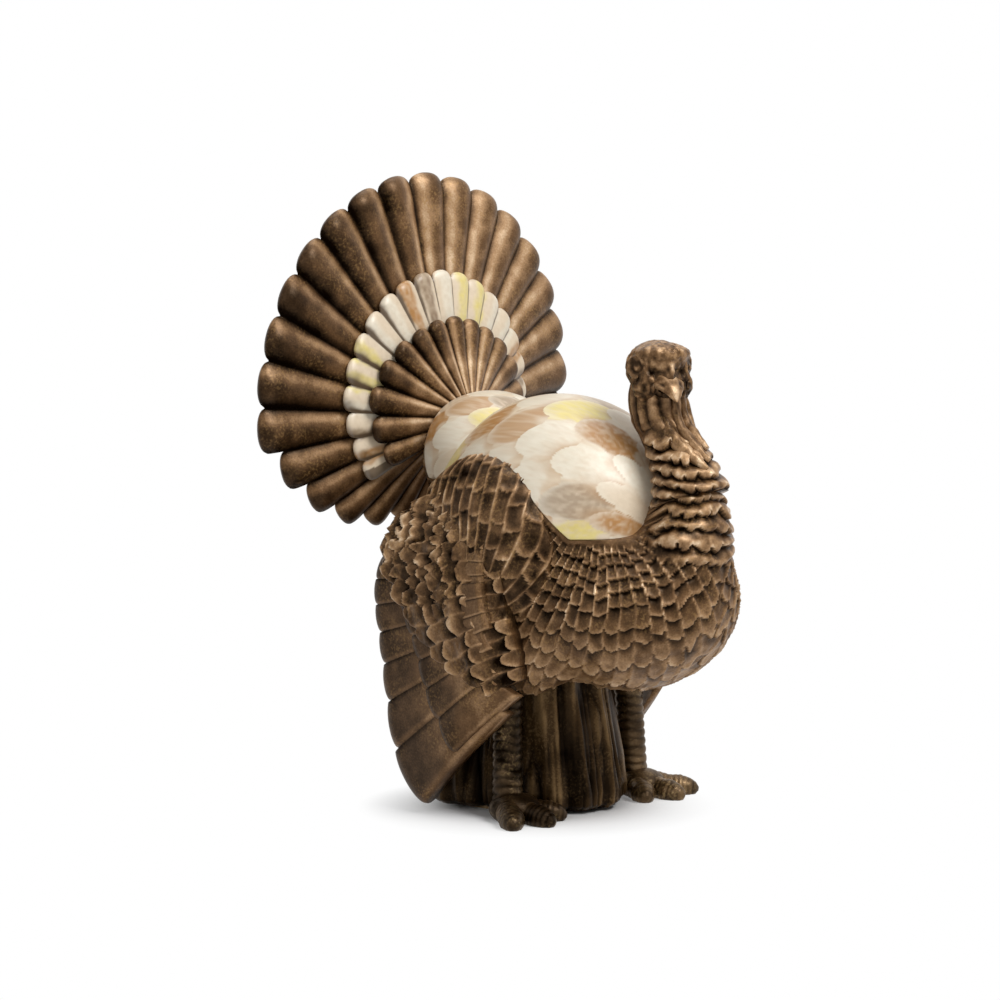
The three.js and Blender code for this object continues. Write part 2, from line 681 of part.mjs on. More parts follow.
function stumpSkin(grow) {
  const spokes = 4 * STUMP.ridges;
  // [height, how far the rounded foot draws in there]
  const levels = [[BASE.corkThickness, 6], [4, 1.5], [10, 0], [44, 0], [STUMP.height, 0]];
  const rings = levels.map(([height, drawnIn]) => {
    const share = height / STUMP.height;
    const size = lerp(STUMP.flare, 0.92, Math.min(1, share * 1.6));
    const points = [];
    for (let i = 0; i < spokes; i += 1) {
      const turn = (2 * Math.PI * i) / spokes;
      const ridge = Math.sin(STUMP.ridges * turn + 1.3 * Math.sin(3 * turn) + 1.1 * share);
      const lump = 1.6 * Math.sin(3 * turn + 2 * share) + 1.2 * Math.sin(5 * turn);
      const relief = STUMP.ridgeDepth * ridge + lump - drawnIn + grow;
      const [wide, deep] = STUMP.radii.map((radius) => radius * size + relief);
      points.push(vec(wide * Math.cos(turn), deep * Math.sin(turn), height).add(STUMP.centre));
    }
    return points;
  });
  return solid(loft(rings));
}

const stumpAxis = (z) => STUMP.centre.clone().setZ(z);
const plateTop = BASE.corkThickness + BASE.plateThickness;

function makeStump() {
  const spigot = rod(stumpAxis(STUMP.height - 14), stumpAxis(SPIGOT_TOP), STUMP.spigotRadius, 20);
  const plateRoom = rod(stumpAxis(-1), stumpAxis(plateTop + GLUE_GAP), BASE.radius + GLUE_GAP, 28);
  const hollow = rod(stumpAxis(0), stumpAxis(STUMP.hollowTop), BASE.radius - 6, 20);
  const trunk = cut(stumpSkin(0), [featheredSkin(GLUE_GAP), solid(plateRoom), solid(hollow)]);
  return trunk.add(solid(spigot));
}

// Assembly

const figure = new THREE.Group();

function place(name, made, finish, mirrored = false) {
  const geometry = made.isBufferGeometry ? made : geometryOf(made);
  const mesh = new THREE.Mesh(geometry, new THREE.MeshStandardMaterial(FINISHES[finish]));
  mesh.name = name;
  if (mirrored) mesh.scale.x = -1;
  figure.add(mesh);
}

place('body_shell', makeTorso(), 'resin');
place('back_saddle', makeBackSaddle(), 'enamel');
place('rump_saddle', makeRumpSaddle(), 'enamel');
place('neck_and_head', makeNeckAndHead(), 'resin');
place('tail_fan', makeTailFan(), 'resin');
place('tail_band', makeInnerTier(TAIL_TIERS.tail_band), 'enamel');
place('tail_coverts', makeInnerTier(TAIL_TIERS.tail_coverts), 'resin');

const wing = makeWing();
place('right_wing', wing, 'resin');
place('left_wing', wing, 'resin', true);
WING.pins.forEach((pin, index) => {
  place(`right_wing_pin_${index + 1}`, makeWingPin(pin), 'steel');
  place(`left_wing_pin_${index + 1}`, makeWingPin(pin), 'steel', true);
});

for (const [name, side] of [['left', 1], ['right', -1]]) {
  place(`${name}_leg`, makeLeg(side), 'resin');
  place(`${name}_leg_rod`, makeLegRod(side), 'steel');
}

place('stump_base', makeStump(), 'bark');
const plateBottom = BASE.corkThickness + GLUE_GAP;
place('base_plate', rod(stumpAxis(plateBottom), stumpAxis(plateTop), BASE.radius, 28), 'resin');
place('base_cork', rod(stumpAxis(0), stumpAxis(BASE.corkThickness), BASE.radius, 28), 'cork');

// The origin goes under the middle of the figure's box.
const box = new THREE.Box3().setFromObject(figure);
const middle = box.getCenter(vec(0, 0, 0));
figure.position.set(-middle.x, -middle.y, -box.min.z);

const assembled = new THREE.Group();
assembled.add(figure);

export default assembled;
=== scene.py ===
import math
from functools import reduce
from itertools import product
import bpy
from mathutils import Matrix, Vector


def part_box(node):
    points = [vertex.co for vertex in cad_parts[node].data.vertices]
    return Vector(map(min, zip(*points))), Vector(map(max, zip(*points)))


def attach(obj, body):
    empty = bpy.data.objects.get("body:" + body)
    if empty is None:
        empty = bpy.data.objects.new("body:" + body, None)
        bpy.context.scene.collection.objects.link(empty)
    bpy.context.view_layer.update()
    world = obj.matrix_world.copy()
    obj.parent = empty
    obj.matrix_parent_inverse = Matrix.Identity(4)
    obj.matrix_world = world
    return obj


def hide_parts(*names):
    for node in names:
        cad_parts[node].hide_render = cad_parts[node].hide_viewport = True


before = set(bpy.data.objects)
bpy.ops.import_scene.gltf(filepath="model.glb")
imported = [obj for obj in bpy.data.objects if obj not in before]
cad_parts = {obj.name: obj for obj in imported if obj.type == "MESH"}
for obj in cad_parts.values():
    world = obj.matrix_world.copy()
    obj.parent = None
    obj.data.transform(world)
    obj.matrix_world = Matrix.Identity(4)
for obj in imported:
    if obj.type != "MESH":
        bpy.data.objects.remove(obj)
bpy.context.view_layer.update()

from types import SimpleNamespace as Values

import bpy
import numpy as np
from mathutils import Vector

# A strutting turkey figure: the looks of its castings. Shapes are worked out in millimetres in the
# bird's own frame, where it faces -Y, its right side is -X and the table is at height 0.

MM = 0.001
STUMP_Y = 36.0  # the middle of the stump and of its cork pad in the bird's frame
cork_low, cork_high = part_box("base_cork")
ROW_SHIFT = np.array([0.0, (cork_low.y + cork_high.y) / 2 / MM - STUMP_Y, 0.0])


def vec(*numbers):
    return np.array(numbers, float)


# Driving dimensions

TORSO = {
    "egg": (vec(0, 8, 139), vec(58, 68, 65)),
    "rump": (vec(0, 55, 173), vec(36, 36, 31)),
    "breast": (vec(0, -36, 101.5), vec(53, 51, 41)),
    "chest": (vec(0, -62, 110), vec(35, 31.5, 31)),
    "collar": (vec(0, -75, 139), vec(22, 17.5, 31)),
    "left_thigh": (vec(36, -2, 90), vec(21, 28, 32)),
    "right_thigh": (vec(-36, -2, 90), vec(21, 28, 32)),
}
HEART = vec(0, -8, 122)  # every point of the torso's skin is in sight from here
TORSO_FILLET = 12.0
SADDLE_DEPTH = 4.3  # how deep the enamelled lobes are let into the back
SADDLE_THICKNESS = 4.0
SADDLE_GAP = 0.3  # between the lobes' lower edge and the skin below it
SADDLE_EDGE = [(-36, 138), (-16, 159), (60, 160), (110, 166)]  # the lobes' lower edge: height at some y
TAIL_SEAT, TAIL_GAP = 70.0, 0.3  # the tail casting starts behind this y, with a gap

TAIL = Values(
    apex=vec(0, 58, 188.5), length=125.5, sweep=math.radians(23.5), dip=18.0,
    tilt=math.radians(3), rise=7.0, width=0.97,
)
# Tiers of tail feathers: `step` in degrees, `length` and `root` from the apex, `crown` in half widths of a
# feather and `tip_round` in widths. Past `short_from` degrees they shorten to `short_to`, at the sides they
# grow to `side_to`
TAIL_TIERS = {
    "tail_fan": Values(
        count=29, step=12.0, length=124.4, root=9.0, lift=0.0, thickness=3.4,
        crown=0.25, tip_crown=0.46, tip_round=0.23, short_from=95.5, short_to=0.48,
        side_to=1.0, light=0.0,
    ),
    "tail_band": Values(
        count=21, step=12.0, length=77.5, root=30.0, lift=5.2, thickness=1.8,
        crown=0.2, tip_crown=0.3, tip_round=0.31, short_from=80.0, short_to=0.9,
        side_to=1.0, light=0.0,
    ),
    "tail_coverts": Values(
        count=15, step=16.5, length=54.0, root=16.0, lift=9.2, thickness=2.0,
        crown=0.3, tip_crown=0.4, tip_round=0.38, short_from=90.0, short_to=0.9,
        side_to=1.18, light=-0.04,
    ),
}

NECK_LINE = [  # y, height and radius
    (-74, 157, 19.3), (-69, 171, 15.4), (-63, 180, 13), (-56, 190, 12.6), (-53, 204, 13.4), (-52, 214, 11),
]
NECK_FOLDS_TOP = (185, 193)  # between these heights the folds round the neck turn into hanging ones
HEAD_MIDDLE = vec(0, -52.5, 218.5)
HEAD_TURN = math.radians(-24)  # to the bird's right

LEG_ANKLE = vec(47, 1.4, 7)
LEG_KNEE = vec(44, 4, 76)
LEG_RADIUS = 6.7
LEG_PLATES = 16  # rows of scutes up the shank
TOES = [(-36, 29), (3, 32), (42, 33), (-146, 17)]  # degrees outwards from straight ahead, length
TOE_RADIUS = 6.5
TOE_PROFILE = [  # share of the length and of the radius, with two knuckles
    (-0.1, 1), (0.2, 0.95), (0.36, 1.05), (0.54, 0.88), (0.7, 0.96), (0.86, 0.76), (0.95, 0.5), (1, 0.15),
]
TOE_HEIGHTS = (6.0, 2.6)  # of its middle, at the root and at the tip
TOE_PLATE = 2.6  # length of a scute on a toe
FOOT_PAD = (vec(0, -5, 6), vec(12.5, 13, 8))  # middle from the point below the ankle, half sizes
FOOT_CLEARANCE = 0.02  # above the table

STUMP = Values(  # narrows from `foot_size` to `top_size` radii up to its `waist`, a share of its height
    radii=(41.0, 55.0), foot=1.5, height=92.0, foot_size=1.09, top_size=0.92, waist=0.625,
    drawn_in=[(1.5, 6), (4, 1.5), (10, 0)],  # at some heights
    ridges=13, ridge_depth=1.6, groove_depth=2.6, bark_radius=46.0, bark_stretch=0.07,
)

WING_SHOULDER = (vec(-46, 15, 132), vec(23, 44, 45))
SHOULDER_COLUMNS, SHOULDER_PITCH = 30, 15.0  # of its tiles
WING_FACE = Values(  # how far its outer face stands out, and where and how fast that face bends inwards
    out=68.0, shoulder=112.0, shoulder_bend=0.0056, tip=80.0, tip_bend=0.0011,
    front=39.35, front_slope=0.45, front_bend=0.02,
)
WING_HUB = (-85.0, 129.0)  # where the lines of the flight feathers meet, in y and height
# Tiers of wing feathers, from the lowest up: width in degrees and, from the hub, where the feather starts
# and where its lower and its upper edge end
WING_FLIGHTS = Values(
    feathers=[(9.9, 108, 184, 179), (7.5, 102, 178, 168), (6.3, 94, 168, 162), (5.6, 84, 162.5, 159.5),
              (5.0, 84, 160, 159), (4.6, 84, 159.5, 157), (4.3, 84, 157.5, 152), (4.1, 84, 152.5, 143),
              (4.0, 84, 142, 128)],
    start=-44.5, lift=-2.0, thickness=6.0, crown=0.15, tip_crown=0.15, tip_round=0.27,
)
WING_GREATER_COVERTS = Values(
    feathers=[(7.6, 97, 144, 139), (6.6, 93, 141, 138), (6.0, 88, 138, 136), (5.4, 84, 136, 136),
              (5.0, 84, 137, 138), (5.0, 84, 139, 140)],
    start=-43.3, lift=0.4, thickness=5.4, crown=0.13, tip_crown=0.13, tip_round=0.3,
)
WING_COVERTS = Values(  # at some angles about the hub: where the field starts and where it ends
    ends=[(-39.5, 92, 104), (-33, 83, 110), (-28, 80, 118), (-22, 78, 127), (-10, 76, 140),
          (-2, 76, 150), (4, 76, 149), (10, 76, 138), (16, 76, 118)],
    pitch=14.0, step=5.0, tuft_pitch=8.0, tuft_step=3.4, thickness=4.2, depth=4.0,
)

CAMERA = Values(
    azimuth=-48.5, elevation=6.8, aim=vec(0, 0, 100), distance=1550.0,
    lens=113.6, sensor=36.0, shift=(-0.074, 0.106),
)
LAMPS = {  # metres towards the camera, to its right and up, then size and power
    "key": (0.7, 0.75, 1.3, 0.9, 21.0), "fill": (1.1, -0.5, 0.6, 0.9, 2.5), "top": (-0.2, 0.0, 1.6, 1.0, 6.0),
}
LAMP_AIM = Vector((0, 0, 0.13))
WORLD_LIGHT = 0.16
FLOOR_HALF = 3.0
SHADOW_MIDDLE = (-0.008, 0.009, 0)
SHADOW_FADE = (0.04, 0.088)  # metres from there over which the floor turns white


# Numbers

def unit(v):
    return v / np.linalg.norm(v, axis=-1, keepdims=True)


def full_turn(count):
    return np.linspace(0, 2 * math.pi, count, endpoint=False)


def blend(first, second, share):
    return first + (second - first) * share


def smooth(low, high, x):
    t = np.clip((x - low) / (high - low), 0, 1)
    return t * t * (3 - 2 * t)


def bell(x, width):
    return np.exp(-((x / width) ** 2))


def places(x, y, z):
    return np.stack(np.broadcast_arrays(x, y, z), axis=-1)


def lattice(cell, seed):
    """A fixed number from -1 to 1 for each whole-number place."""
    x, y, z = (cell[..., i].astype(np.int64) for i in range(3))
    mixed = (x * 73856093) ^ (y * 19349663) ^ (z * 83492791) ^ (seed * 40503 + 977)
    mixed = ((mixed ^ (mixed >> 13)) * 1274126177) & 0xFFFFFFFF
    return ((mixed ^ (mixed >> 16)) & 0xFFFF) / 32767.5 - 1


def noise(points, size, seed=0):
    """Smooth noise from -1 to 1 with features of about `size`."""
    scaled = np.asarray(points, float) / size
    cell = np.floor(scaled)
    share = scaled - cell
    share = share * share * (3 - 2 * share)
    total = np.zeros(scaled.shape[:-1])
    for corner in np.ndindex(2, 2, 2):
        weight = np.prod(np.where(corner, share, 1 - share), axis=-1)
        total += weight * lattice(cell + corner, seed)
    return total


def rough(points, size, octaves=3, seed=0):
    return sum(noise(points, size / 2 ** i, seed + i) / 2 ** i for i in range(octaves)) / 1.6


def ellipsoid_distance(points, form):
    centre, radii = form
    scaled = (points - centre) / radii
    share = np.linalg.norm(scaled, axis=-1)
    slope = np.linalg.norm(scaled / radii, axis=-1)
    return share * (share - 1) / np.maximum(slope, 1e-9)


def run_together(distances, fillet):
    def pair(a, b):
        overlap = np.maximum(fillet - np.abs(a - b), 0) / fillet
        return np.minimum(a, b) - overlap * overlap * fillet / 4
    return reduce(pair, distances)


def shingles(column, row, lap=0.4, tip=0.45):
    """Scales laid in staggered rows, each over the root of the next: how far along its scale a point
    lies, from 0 at the root to 1 at the tip, how far across, how close it is to the tip's rim and to the
    shade below the last tip, and the scale's rank and file."""
    def scale_of(rank):
        across = 2 * ((column - 0.5 * (rank % 2)) % 1.0) - 1
        along = (row - rank) / (1 + lap)
        end = 1 - tip * (1 - np.sqrt(np.clip(1 - across ** 2, 0, 1)))
        return across, along, end
    rank = np.floor(row)
    upper, lower = scale_of(rank - 1), scale_of(rank)
    on_upper = upper[1] < upper[2]
    across, along, end = (np.where(on_upper, *pair) for pair in zip(upper, lower))
    rim = bell((end - along) * (1 + lap), 0.16)
    pit = np.where(on_upper, 0, np.exp(-np.maximum(upper[1] - upper[2], 0) * (1 + lap) / 0.22))
    rank = np.where(on_upper, rank - 1, rank)
    file = np.floor(column - 0.5 * (rank % 2))
    return Values(along=along, across=across, rim=rim, pit=pit, rank=rank, file=file)


def tiles(column, row, bow):
    """Tiles laid end to end in columns, staggered between columns: how far along and across its tile
    a point lies, and how close it is to the tile's sides, its tip and the shade below the last tip."""
    file = np.floor(column)
    across = 2 * (column - file) - 1
    stagger = 0.5 * (file % 2) + 0.4 * lattice(places(file, 0, 0), 7)
    row = row + stagger - bow * (1 - across ** 2)
    along = row - np.floor(row)
    side = bell(1 - np.abs(across), 0.17)
    rim = bell(1 - along, 0.15)
    pit = bell(along, 0.24)
    return Values(along=along, across=across, side=side, rim=rim, pit=pit)


# Meshes, as (points, faces, relief): relief is 0 in the grooves and 1 on the ridges, and it carries painted
# shade and painted highlights into the colour

POLE_HOLE = 0.012  # radians between a pole and the first ring


def rings_mesh(rings, relief):
    """A skin over rings of points, each end closed by a fan about its middle."""
    rows, spokes = rings.shape[:2]
    index = np.arange(rows * spokes).reshape(rows, spokes)
    after = np.roll(index, -1, axis=1)
    quads = np.stack([index[:-1], after[:-1], after[1:], index[1:]], axis=-1).reshape(-1, 4)
    points = rings.reshape(-1, 3)
    faces = [tuple(q) for q in quads.tolist()]
    relief = np.broadcast_to(relief, (rows, spokes)).reshape(-1)
    for end, way in ((0, -1), (-1, 1)):
        pairs = zip(index[end].tolist(), after[end].tolist())
        faces += [(len(points), *pair[::way]) for pair in pairs]
        points = np.vstack([points, rings[end].mean(axis=0)])
        relief = np.append(relief, relief[index[end]].mean())
    return outward((points, faces, relief))


def raised(rings, centre, height):
    """Rings of points moved by a height along the normals of their skin, away from a centre."""
    along = np.gradient(rings, axis=0)
    around = np.roll(rings, -1, axis=1) - np.roll(rings, 1, axis=1)
    normals = unit(np.cross(around, along) + 1e-12)
    facing = np.sign(np.sum(normals * (rings - centre), axis=-1, keepdims=True))
    return rings + normals * np.where(facing == 0, 1, facing) * height[..., None]


def spokes_about(pole, first, turns):
    """Directions at right angles to a pole, at some turns from the first one."""
    return np.cos(turns)[:, None] * first + np.sin(turns)[:, None] * np.cross(pole, first)


def directions_about(pole, first, falls, turns):
    """Rings of directions at some falls from a pole towards its spokes."""
    falls = falls[:, None, None]
    return np.cos(falls) * pole + np.sin(falls) * spokes_about(pole, first, turns)


def polar_directions(pole, rings, spokes):
    """Evenly spread directions about a pole, whose first spoke points to the front."""
    pole = unit(pole)
    side = unit(np.cross(vec(1, 0, 0), pole))
    return directions_about(pole, side, np.linspace(POLE_HOLE, math.pi - POLE_HOLE, rings), full_turn(spokes))


def last_inside(inside, shape, limit, rounds=24):
    """The largest values up to a limit that are still inside, found by halving."""
    low, high = np.zeros(shape), np.full(shape, limit)
    for _ in range(rounds):
        middle = (low + high) / 2
        within = inside(middle)
        low, high = np.where(within, middle, low), np.where(within, high, middle)
    return low


def star_surface(centre, directions, distance, limit=220.0):
    """The points where lines from the centre leave a form."""
    def place(reach):
        return centre + directions * reach[..., None]
    return place(last_inside(lambda reach: distance(place(reach)) < 0, directions.shape[:-1], limit))


def joined(meshes):
    points, faces, relief = zip(*meshes)
    bases = np.cumsum([0, *map(len, points)]).tolist()
    faces = [tuple(i + base for i in face) for base, some in zip(bases, faces) for face in some]
    return np.vstack(points), faces, np.concatenate(relief)


def mirrored(mesh):
    points, faces, relief = mesh
    return points * vec(-1, 1, 1), [tuple(reversed(f)) for f in faces], relief


def outward(mesh):
    """The mesh with its faces turned so that its volume isn't negative."""
    points, faces, relief = mesh
    corners = np.array([(f[0], f[i], f[i + 1]) for f in faces for i in range(1, len(f) - 1)])
    a, b, c = points[corners.T]
    if np.sum(a * np.cross(b, c)) < 0:
        faces = [tuple(reversed(f)) for f in faces]
    return points, faces, relief


def add_object(name, data):
    thing = bpy.data.objects.new(name, data)
    bpy.context.scene.collection.objects.link(thing)
    return thing


def make_piece(name, mesh, material, slot, *nodes, paint=None):
    points, faces, relief = mesh
    data = bpy.data.meshes.new(name)
    data.from_pydata(((points + ROW_SHIFT) * MM).tolist(), [], faces)
    data.validate()
    data.shade_smooth()
    data.attributes.new("relief", "FLOAT", "POINT").data.foreach_set("value", np.clip(relief, 0, 1))
    if paint is not None:
        colours = np.insert(np.clip(paint, 0, 1), 3, 1, axis=1)
        data.attributes.new("paint", "FLOAT_COLOR", "POINT").data.foreach_set("color", colours.ravel())
    data.materials.append(material)
    piece = add_object(name, data)
    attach(piece, "root")
    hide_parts(*nodes)


# Materials

class Nodes:
    """Short calls for building the node tree of a material, or of the world."""

    def __init__(self, name, kind="materials"):
        self.material = getattr(bpy.data, kind).new(name)
        self.material.use_nodes = True
        self.tree = self.material.node_tree
        self.shader = self.tree.nodes.get("Principled BSDF")

    def add(self, kind, inputs=None, **settings):
        node = self.tree.nodes.new(kind)
        for key, value in settings.items():
            setattr(node, key, value)
        for key, value in (inputs or {}).items():
            self.put(value, node.inputs[key])
        return node

    def put(self, value, socket):
        if isinstance(value, bpy.types.NodeSocket):
            self.tree.links.new(value, socket)
        else:
            socket.default_value = (*value, 1) if socket.type == "RGBA" else value

    def noise(self, size_mm, detail=3.0, stretch=None):
        place = self.add("ShaderNodeTexCoord").outputs["Object"]
        if stretch:
            place = self.add("ShaderNodeMapping", {"Vector": place, "Scale": stretch}).outputs[0]
        inputs = {"Vector": place, "Scale": 1 / (size_mm * MM), "Detail": detail}
        return self.add("ShaderNodeTexNoise", inputs).outputs["Fac"]

    def math(self, operation, a, b=0.0, c=0.0, clamp=False):
        return self.add("ShaderNodeMath", {0: a, 1: b, 2: c}, operation=operation, use_clamp=clamp).outputs[0]

    def ramp(self, value, stops):
        node = self.add("ShaderNodeValToRGB", {"Fac": value})
        elements = node.color_ramp.elements
        while len(elements) < len(stops):
            elements.new(0.5)
        for element, (place, colour) in zip(elements, stops):
            element.position = place
            element.color = (*colour, 1) if isinstance(colour, tuple) else (colour, colour, colour, 1)
        return node.outputs["Color"]

    def mix(self, share, first, second, blend="MIX"):
        inputs = {0: share, 6: first, 7: second}
        return self.add("ShaderNodeMix", inputs, data_type="RGBA", blend_type=blend).outputs[2]

    def bump(self, height, depth_mm, strength=1.0):
        inputs = {"Height": height, "Distance": depth_mm * MM, "Strength": strength}
        return self.add("ShaderNodeBump", inputs).outputs["Normal"]

    def seen_directly(self):
        """1 for what the camera sees, straight or in a mirror or a glass."""
        rays = self.add("ShaderNodeLightPath").outputs
        reflected = self.math("MAXIMUM", rays["Is Camera Ray"], rays["Is Glossy Ray"])
        return self.math("MAXIMUM", reflected, rays["Is Transmission Ray"])

    def finish(self, **inputs):
        for key, value in inputs.items():
            self.put(value, self.shader.inputs[key.replace("_", " ")])
        return self.material


def washed_resin(name, stops, speckle, gold=(0.36, 0.21, 0.08), metal=0.12, gloss=1.0):
    """Resin with a dark wash and painted shade in its grooves, and satin bronze paint and painted highlights
    over its ridges.
    """
    nodes = Nodes(name)
    relief = nodes.add("ShaderNodeAttribute", attribute_name="relief").outputs["Fac"]
    blotches = nodes.math("MULTIPLY_ADD", nodes.noise(7.0), 0.22, -0.11)
    grain = nodes.math("MULTIPLY_ADD", nodes.noise(0.9, 2.0), speckle, -speckle / 2)
    # Relief with random blotches: grooves darkened by the wash and by painted shade, ridges lightened by
    # dry-brushing and by painted highlights.
    wash_and_painted_light = nodes.math("ADD", nodes.math("ADD", relief, blotches), grain, clamp=True)
    colour = nodes.ramp(wash_and_painted_light, stops)
    flecks = nodes.ramp(nodes.noise(1.3, 3.0), [(0.5, 0.0), (0.66, 1.0)])
    patches = nodes.ramp(nodes.noise(16.0, 1.0), [(0.42, 0.0), (0.62, 1.0)])
    gilded = nodes.math("MULTIPLY", nodes.math("MULTIPLY", flecks, patches), relief)
    colour = nodes.mix(gilded, colour, gold)
    roughness = nodes.ramp(nodes.noise(2.0), [(0.3, 0.30), (0.7, 0.44)])
    normal = nodes.bump(nodes.noise(0.8, 3.0), 0.12, 0.5)
    shine = nodes.math("MULTIPLY", wash_and_painted_light, gloss, clamp=True)
    return nodes.finish(Base_Color=colour, Roughness=roughness, Normal=normal, Metallic=metal,
                        Specular_IOR_Level=shine, Specular_Tint=(1.0, 0.72, 0.48))


# Colour stops over relief: the darkest are partly painted shade in grooves, the lightest partly painted
# highlight on ridges.
BROWN_STOPS = [
    (0.06, (0.004, 0.0017, 0.0006)), (0.25, (0.030, 0.014, 0.0052)), (0.43, (0.115, 0.058, 0.024)),
    (0.6, (0.33, 0.195, 0.097)), (0.85, (0.80, 0.60, 0.40)),
]
BARK_STOPS = [
    (0.1, (0.0015, 0.0007, 0.0002)), (0.35, (0.010, 0.0048, 0.0016)), (0.6, (0.052, 0.028, 0.010)),
    (0.9, (0.26, 0.16, 0.07)),
]
LEG_STOPS = [
    (0.08, (0.004, 0.002, 0.0007)), (0.32, (0.024, 0.0125, 0.0045)), (0.6, (0.11, 0.065, 0.028)),
    (0.9, (0.42, 0.28, 0.135)),
]


def enamel(name):
    """Glossy enamel: the paint's colours, brushed along the bird, under a clear coat."""
    nodes = Nodes(name)
    paint = nodes.add("ShaderNodeAttribute", attribute_name="paint").outputs["Color"]
    streaks = nodes.noise(2.2, 3.0, (1.0, 0.09, 1.0))
    tone = nodes.ramp(streaks, [(0.3, (0.90, 0.88, 0.84)), (0.62, (1.0, 1.0, 1.0))])
    colour = nodes.mix(0.7, paint, tone, "MULTIPLY")
    roughness = nodes.ramp(nodes.noise(9.0), [(0.3, 0.32), (0.7, 0.42)])
    normal = nodes.bump(nodes.noise(11.0, 1.0), 0.25, 0.35)
    return nodes.finish(Base_Color=colour, Roughness=roughness, Normal=normal, Specular_IOR_Level=0.5,
                        Coat_Weight=0.2, Coat_Roughness=0.42)


def plain_steel(name):
    nodes = Nodes(name)
    colour = nodes.ramp(nodes.noise(1.5), [(0.3, (0.42, 0.42, 0.43)), (0.7, (0.58, 0.58, 0.6))])
    roughness = nodes.ramp(nodes.noise(0.6), [(0.3, 0.3), (0.7, 0.45)])
    return nodes.finish(Base_Color=colour, Roughness=roughness, Metallic=1.0)


def cork(name):
    nodes = Nodes(name)
    grains = nodes.ramp(nodes.noise(2.2, 4.0), [
        (0.3, (0.20, 0.11, 0.05)), (0.48, (0.42, 0.27, 0.14)), (0.7, (0.55, 0.38, 0.21))])
    normal = nodes.bump(nodes.noise(1.4, 3.0), 0.4)
    return nodes.finish(Base_Color=grains, Roughness=0.92, Normal=normal)


# Torso

def saddle_edge(y):
    return np.interp(y, *zip(*SADDLE_EDGE))


def front_distance(points):
    """Distance to the breast and the collar above it."""
    forms = [TORSO[name] for name in ("breast", "chest", "collar")]
    return run_together([ellipsoid_distance(points, form) for form in forms], TORSO_FILLET)


def torso_distance(points):
    """Distance to the torso, sunk under the enamelled lobes."""
    y, z = points[..., 1], points[..., 2]
    sunk = SADDLE_DEPTH * smooth(0, 3, z - saddle_edge(y)) * smooth(3, 0, y - TAIL_SEAT)
    depth = {"egg": sunk, "rump": sunk}
    distances = [ellipsoid_distance(points, form) + depth.get(name, 0) for name, form in TORSO.items()]
    return run_together(distances, TORSO_FILLET)


BREAST_POLE = vec(0, -0.15, 1)
BREAST_RINGS, BREAST_SPOKES = 224, 420
BREAST_COLUMNS = 58  # of feathers round each side of the saddle
BREAST_ROWS, BREAST_GROWTH = 9.5, 52.0  # rows down from its edge, which get longer on the way
BREAST_LOW = (28, 72)  # how far below that edge strings of feathers turn into single ones
SIDE_POLE = unit(vec(-0.46, -0.59, 0.66))  # from the heart to the middle of the saddle's right side
SKIN_INSET = 0.6  # of the body's feathered skin
RUFFLE_TOP, RUFFLE_PITCH, RUFFLE_COUNT = 192.0, 6.8, 15  # skin folds round the foot of the neck
RUFFLE_AXIS = -70.0  # the y of the line that they run round
RUFFLE_FRONT = (-50, -57)  # they start between these two y
RUFFLE_FOOT = (123, 131)  # and end between these heights


def ruffles(points):
    """Scalloped folds of skin that hang over each other: height in mm and relief."""
    turn = np.arctan2(points[..., 0], RUFFLE_AXIS - points[..., 1]) / (2 * math.pi)
    level = (RUFFLE_TOP - points[..., 2]) / RUFFLE_PITCH
    level = level + 0.5 * noise(points, 13.0, 14) + 0.2 * noise(points, 5.0, 13)
    fold = shingles(turn * RUFFLE_COUNT + 0.6 * noise(points, 12.0, 17), level, lap=0.3, tip=0.4)
    lively = 1 + 0.35 * noise(points, 7.0, 15)
    roll = np.sin(math.pi * np.clip(fold.along, 0, 1) ** 1.8) ** 0.9
    height = 1.3 * smooth(0, 0.9, fold.along) + 1.7 * roll + 0.2 * fold.rim
    height = lively * height - 0.7 * fold.pit - 2.0
    # Painted highlight on the rounded folds and their rims, painted shade in the pit under the fold above.
    relief = 0.17 + 0.4 * roll + 0.22 * fold.rim - 0.4 * fold.pit + 0.18 * noise(points, 2.6, 16)
    front = smooth(*RUFFLE_FRONT, points[..., 1])
    return blend(-1.0, height, front), blend(0.36, relief, front)


def breast_directions():
    """Directions in rings about the pole, dense where the feathers show."""
    pole = unit(BREAST_POLE)
    front = unit(vec(0, -1, 0) - pole * -pole[1])
    fall = np.interp(np.linspace(0, 1, BREAST_RINGS), [0, 0.08, 0.9, 1], [POLE_HOLE, 0.9, 2.5, 3.13])
    turn = np.interp(np.linspace(-1, 1, BREAST_SPOKES, endpoint=False), [-1, -0.82, 0.82, 1],
                     [-math.pi, -2.0, 2.0, math.pi])
    return directions_about(pole, front, fall, turn)


def round_saddle(points):
    """How far each point lies below the saddle's edge, and its turn round the middle of that side."""
    first = unit(np.cross(SIDE_POLE, vec(0, 0, 1)))
    second = np.cross(SIDE_POLE, first)
    turns = np.linspace(-math.pi, math.pi, 240)
    falls = np.linspace(0.2, 1.7, 150)
    skin = star_surface(HEART, directions_about(SIDE_POLE, first, falls, turns), torso_distance)
    enamelled = (skin[..., 2] > saddle_edge(skin[..., 1])) & (front_distance(skin) > 1.5)
    edge = falls[np.argmin(enamelled, axis=0)]
    heading = points - HEART
    heading[..., 0] = -np.abs(heading[..., 0])
    far = np.linalg.norm(heading, axis=-1)
    fall = np.arccos(np.clip(heading @ SIDE_POLE / far, -1, 1))
    turn = np.arctan2(heading @ second, heading @ first)
    return np.maximum(fall - np.interp(turn, turns, edge), 0) * far, turn


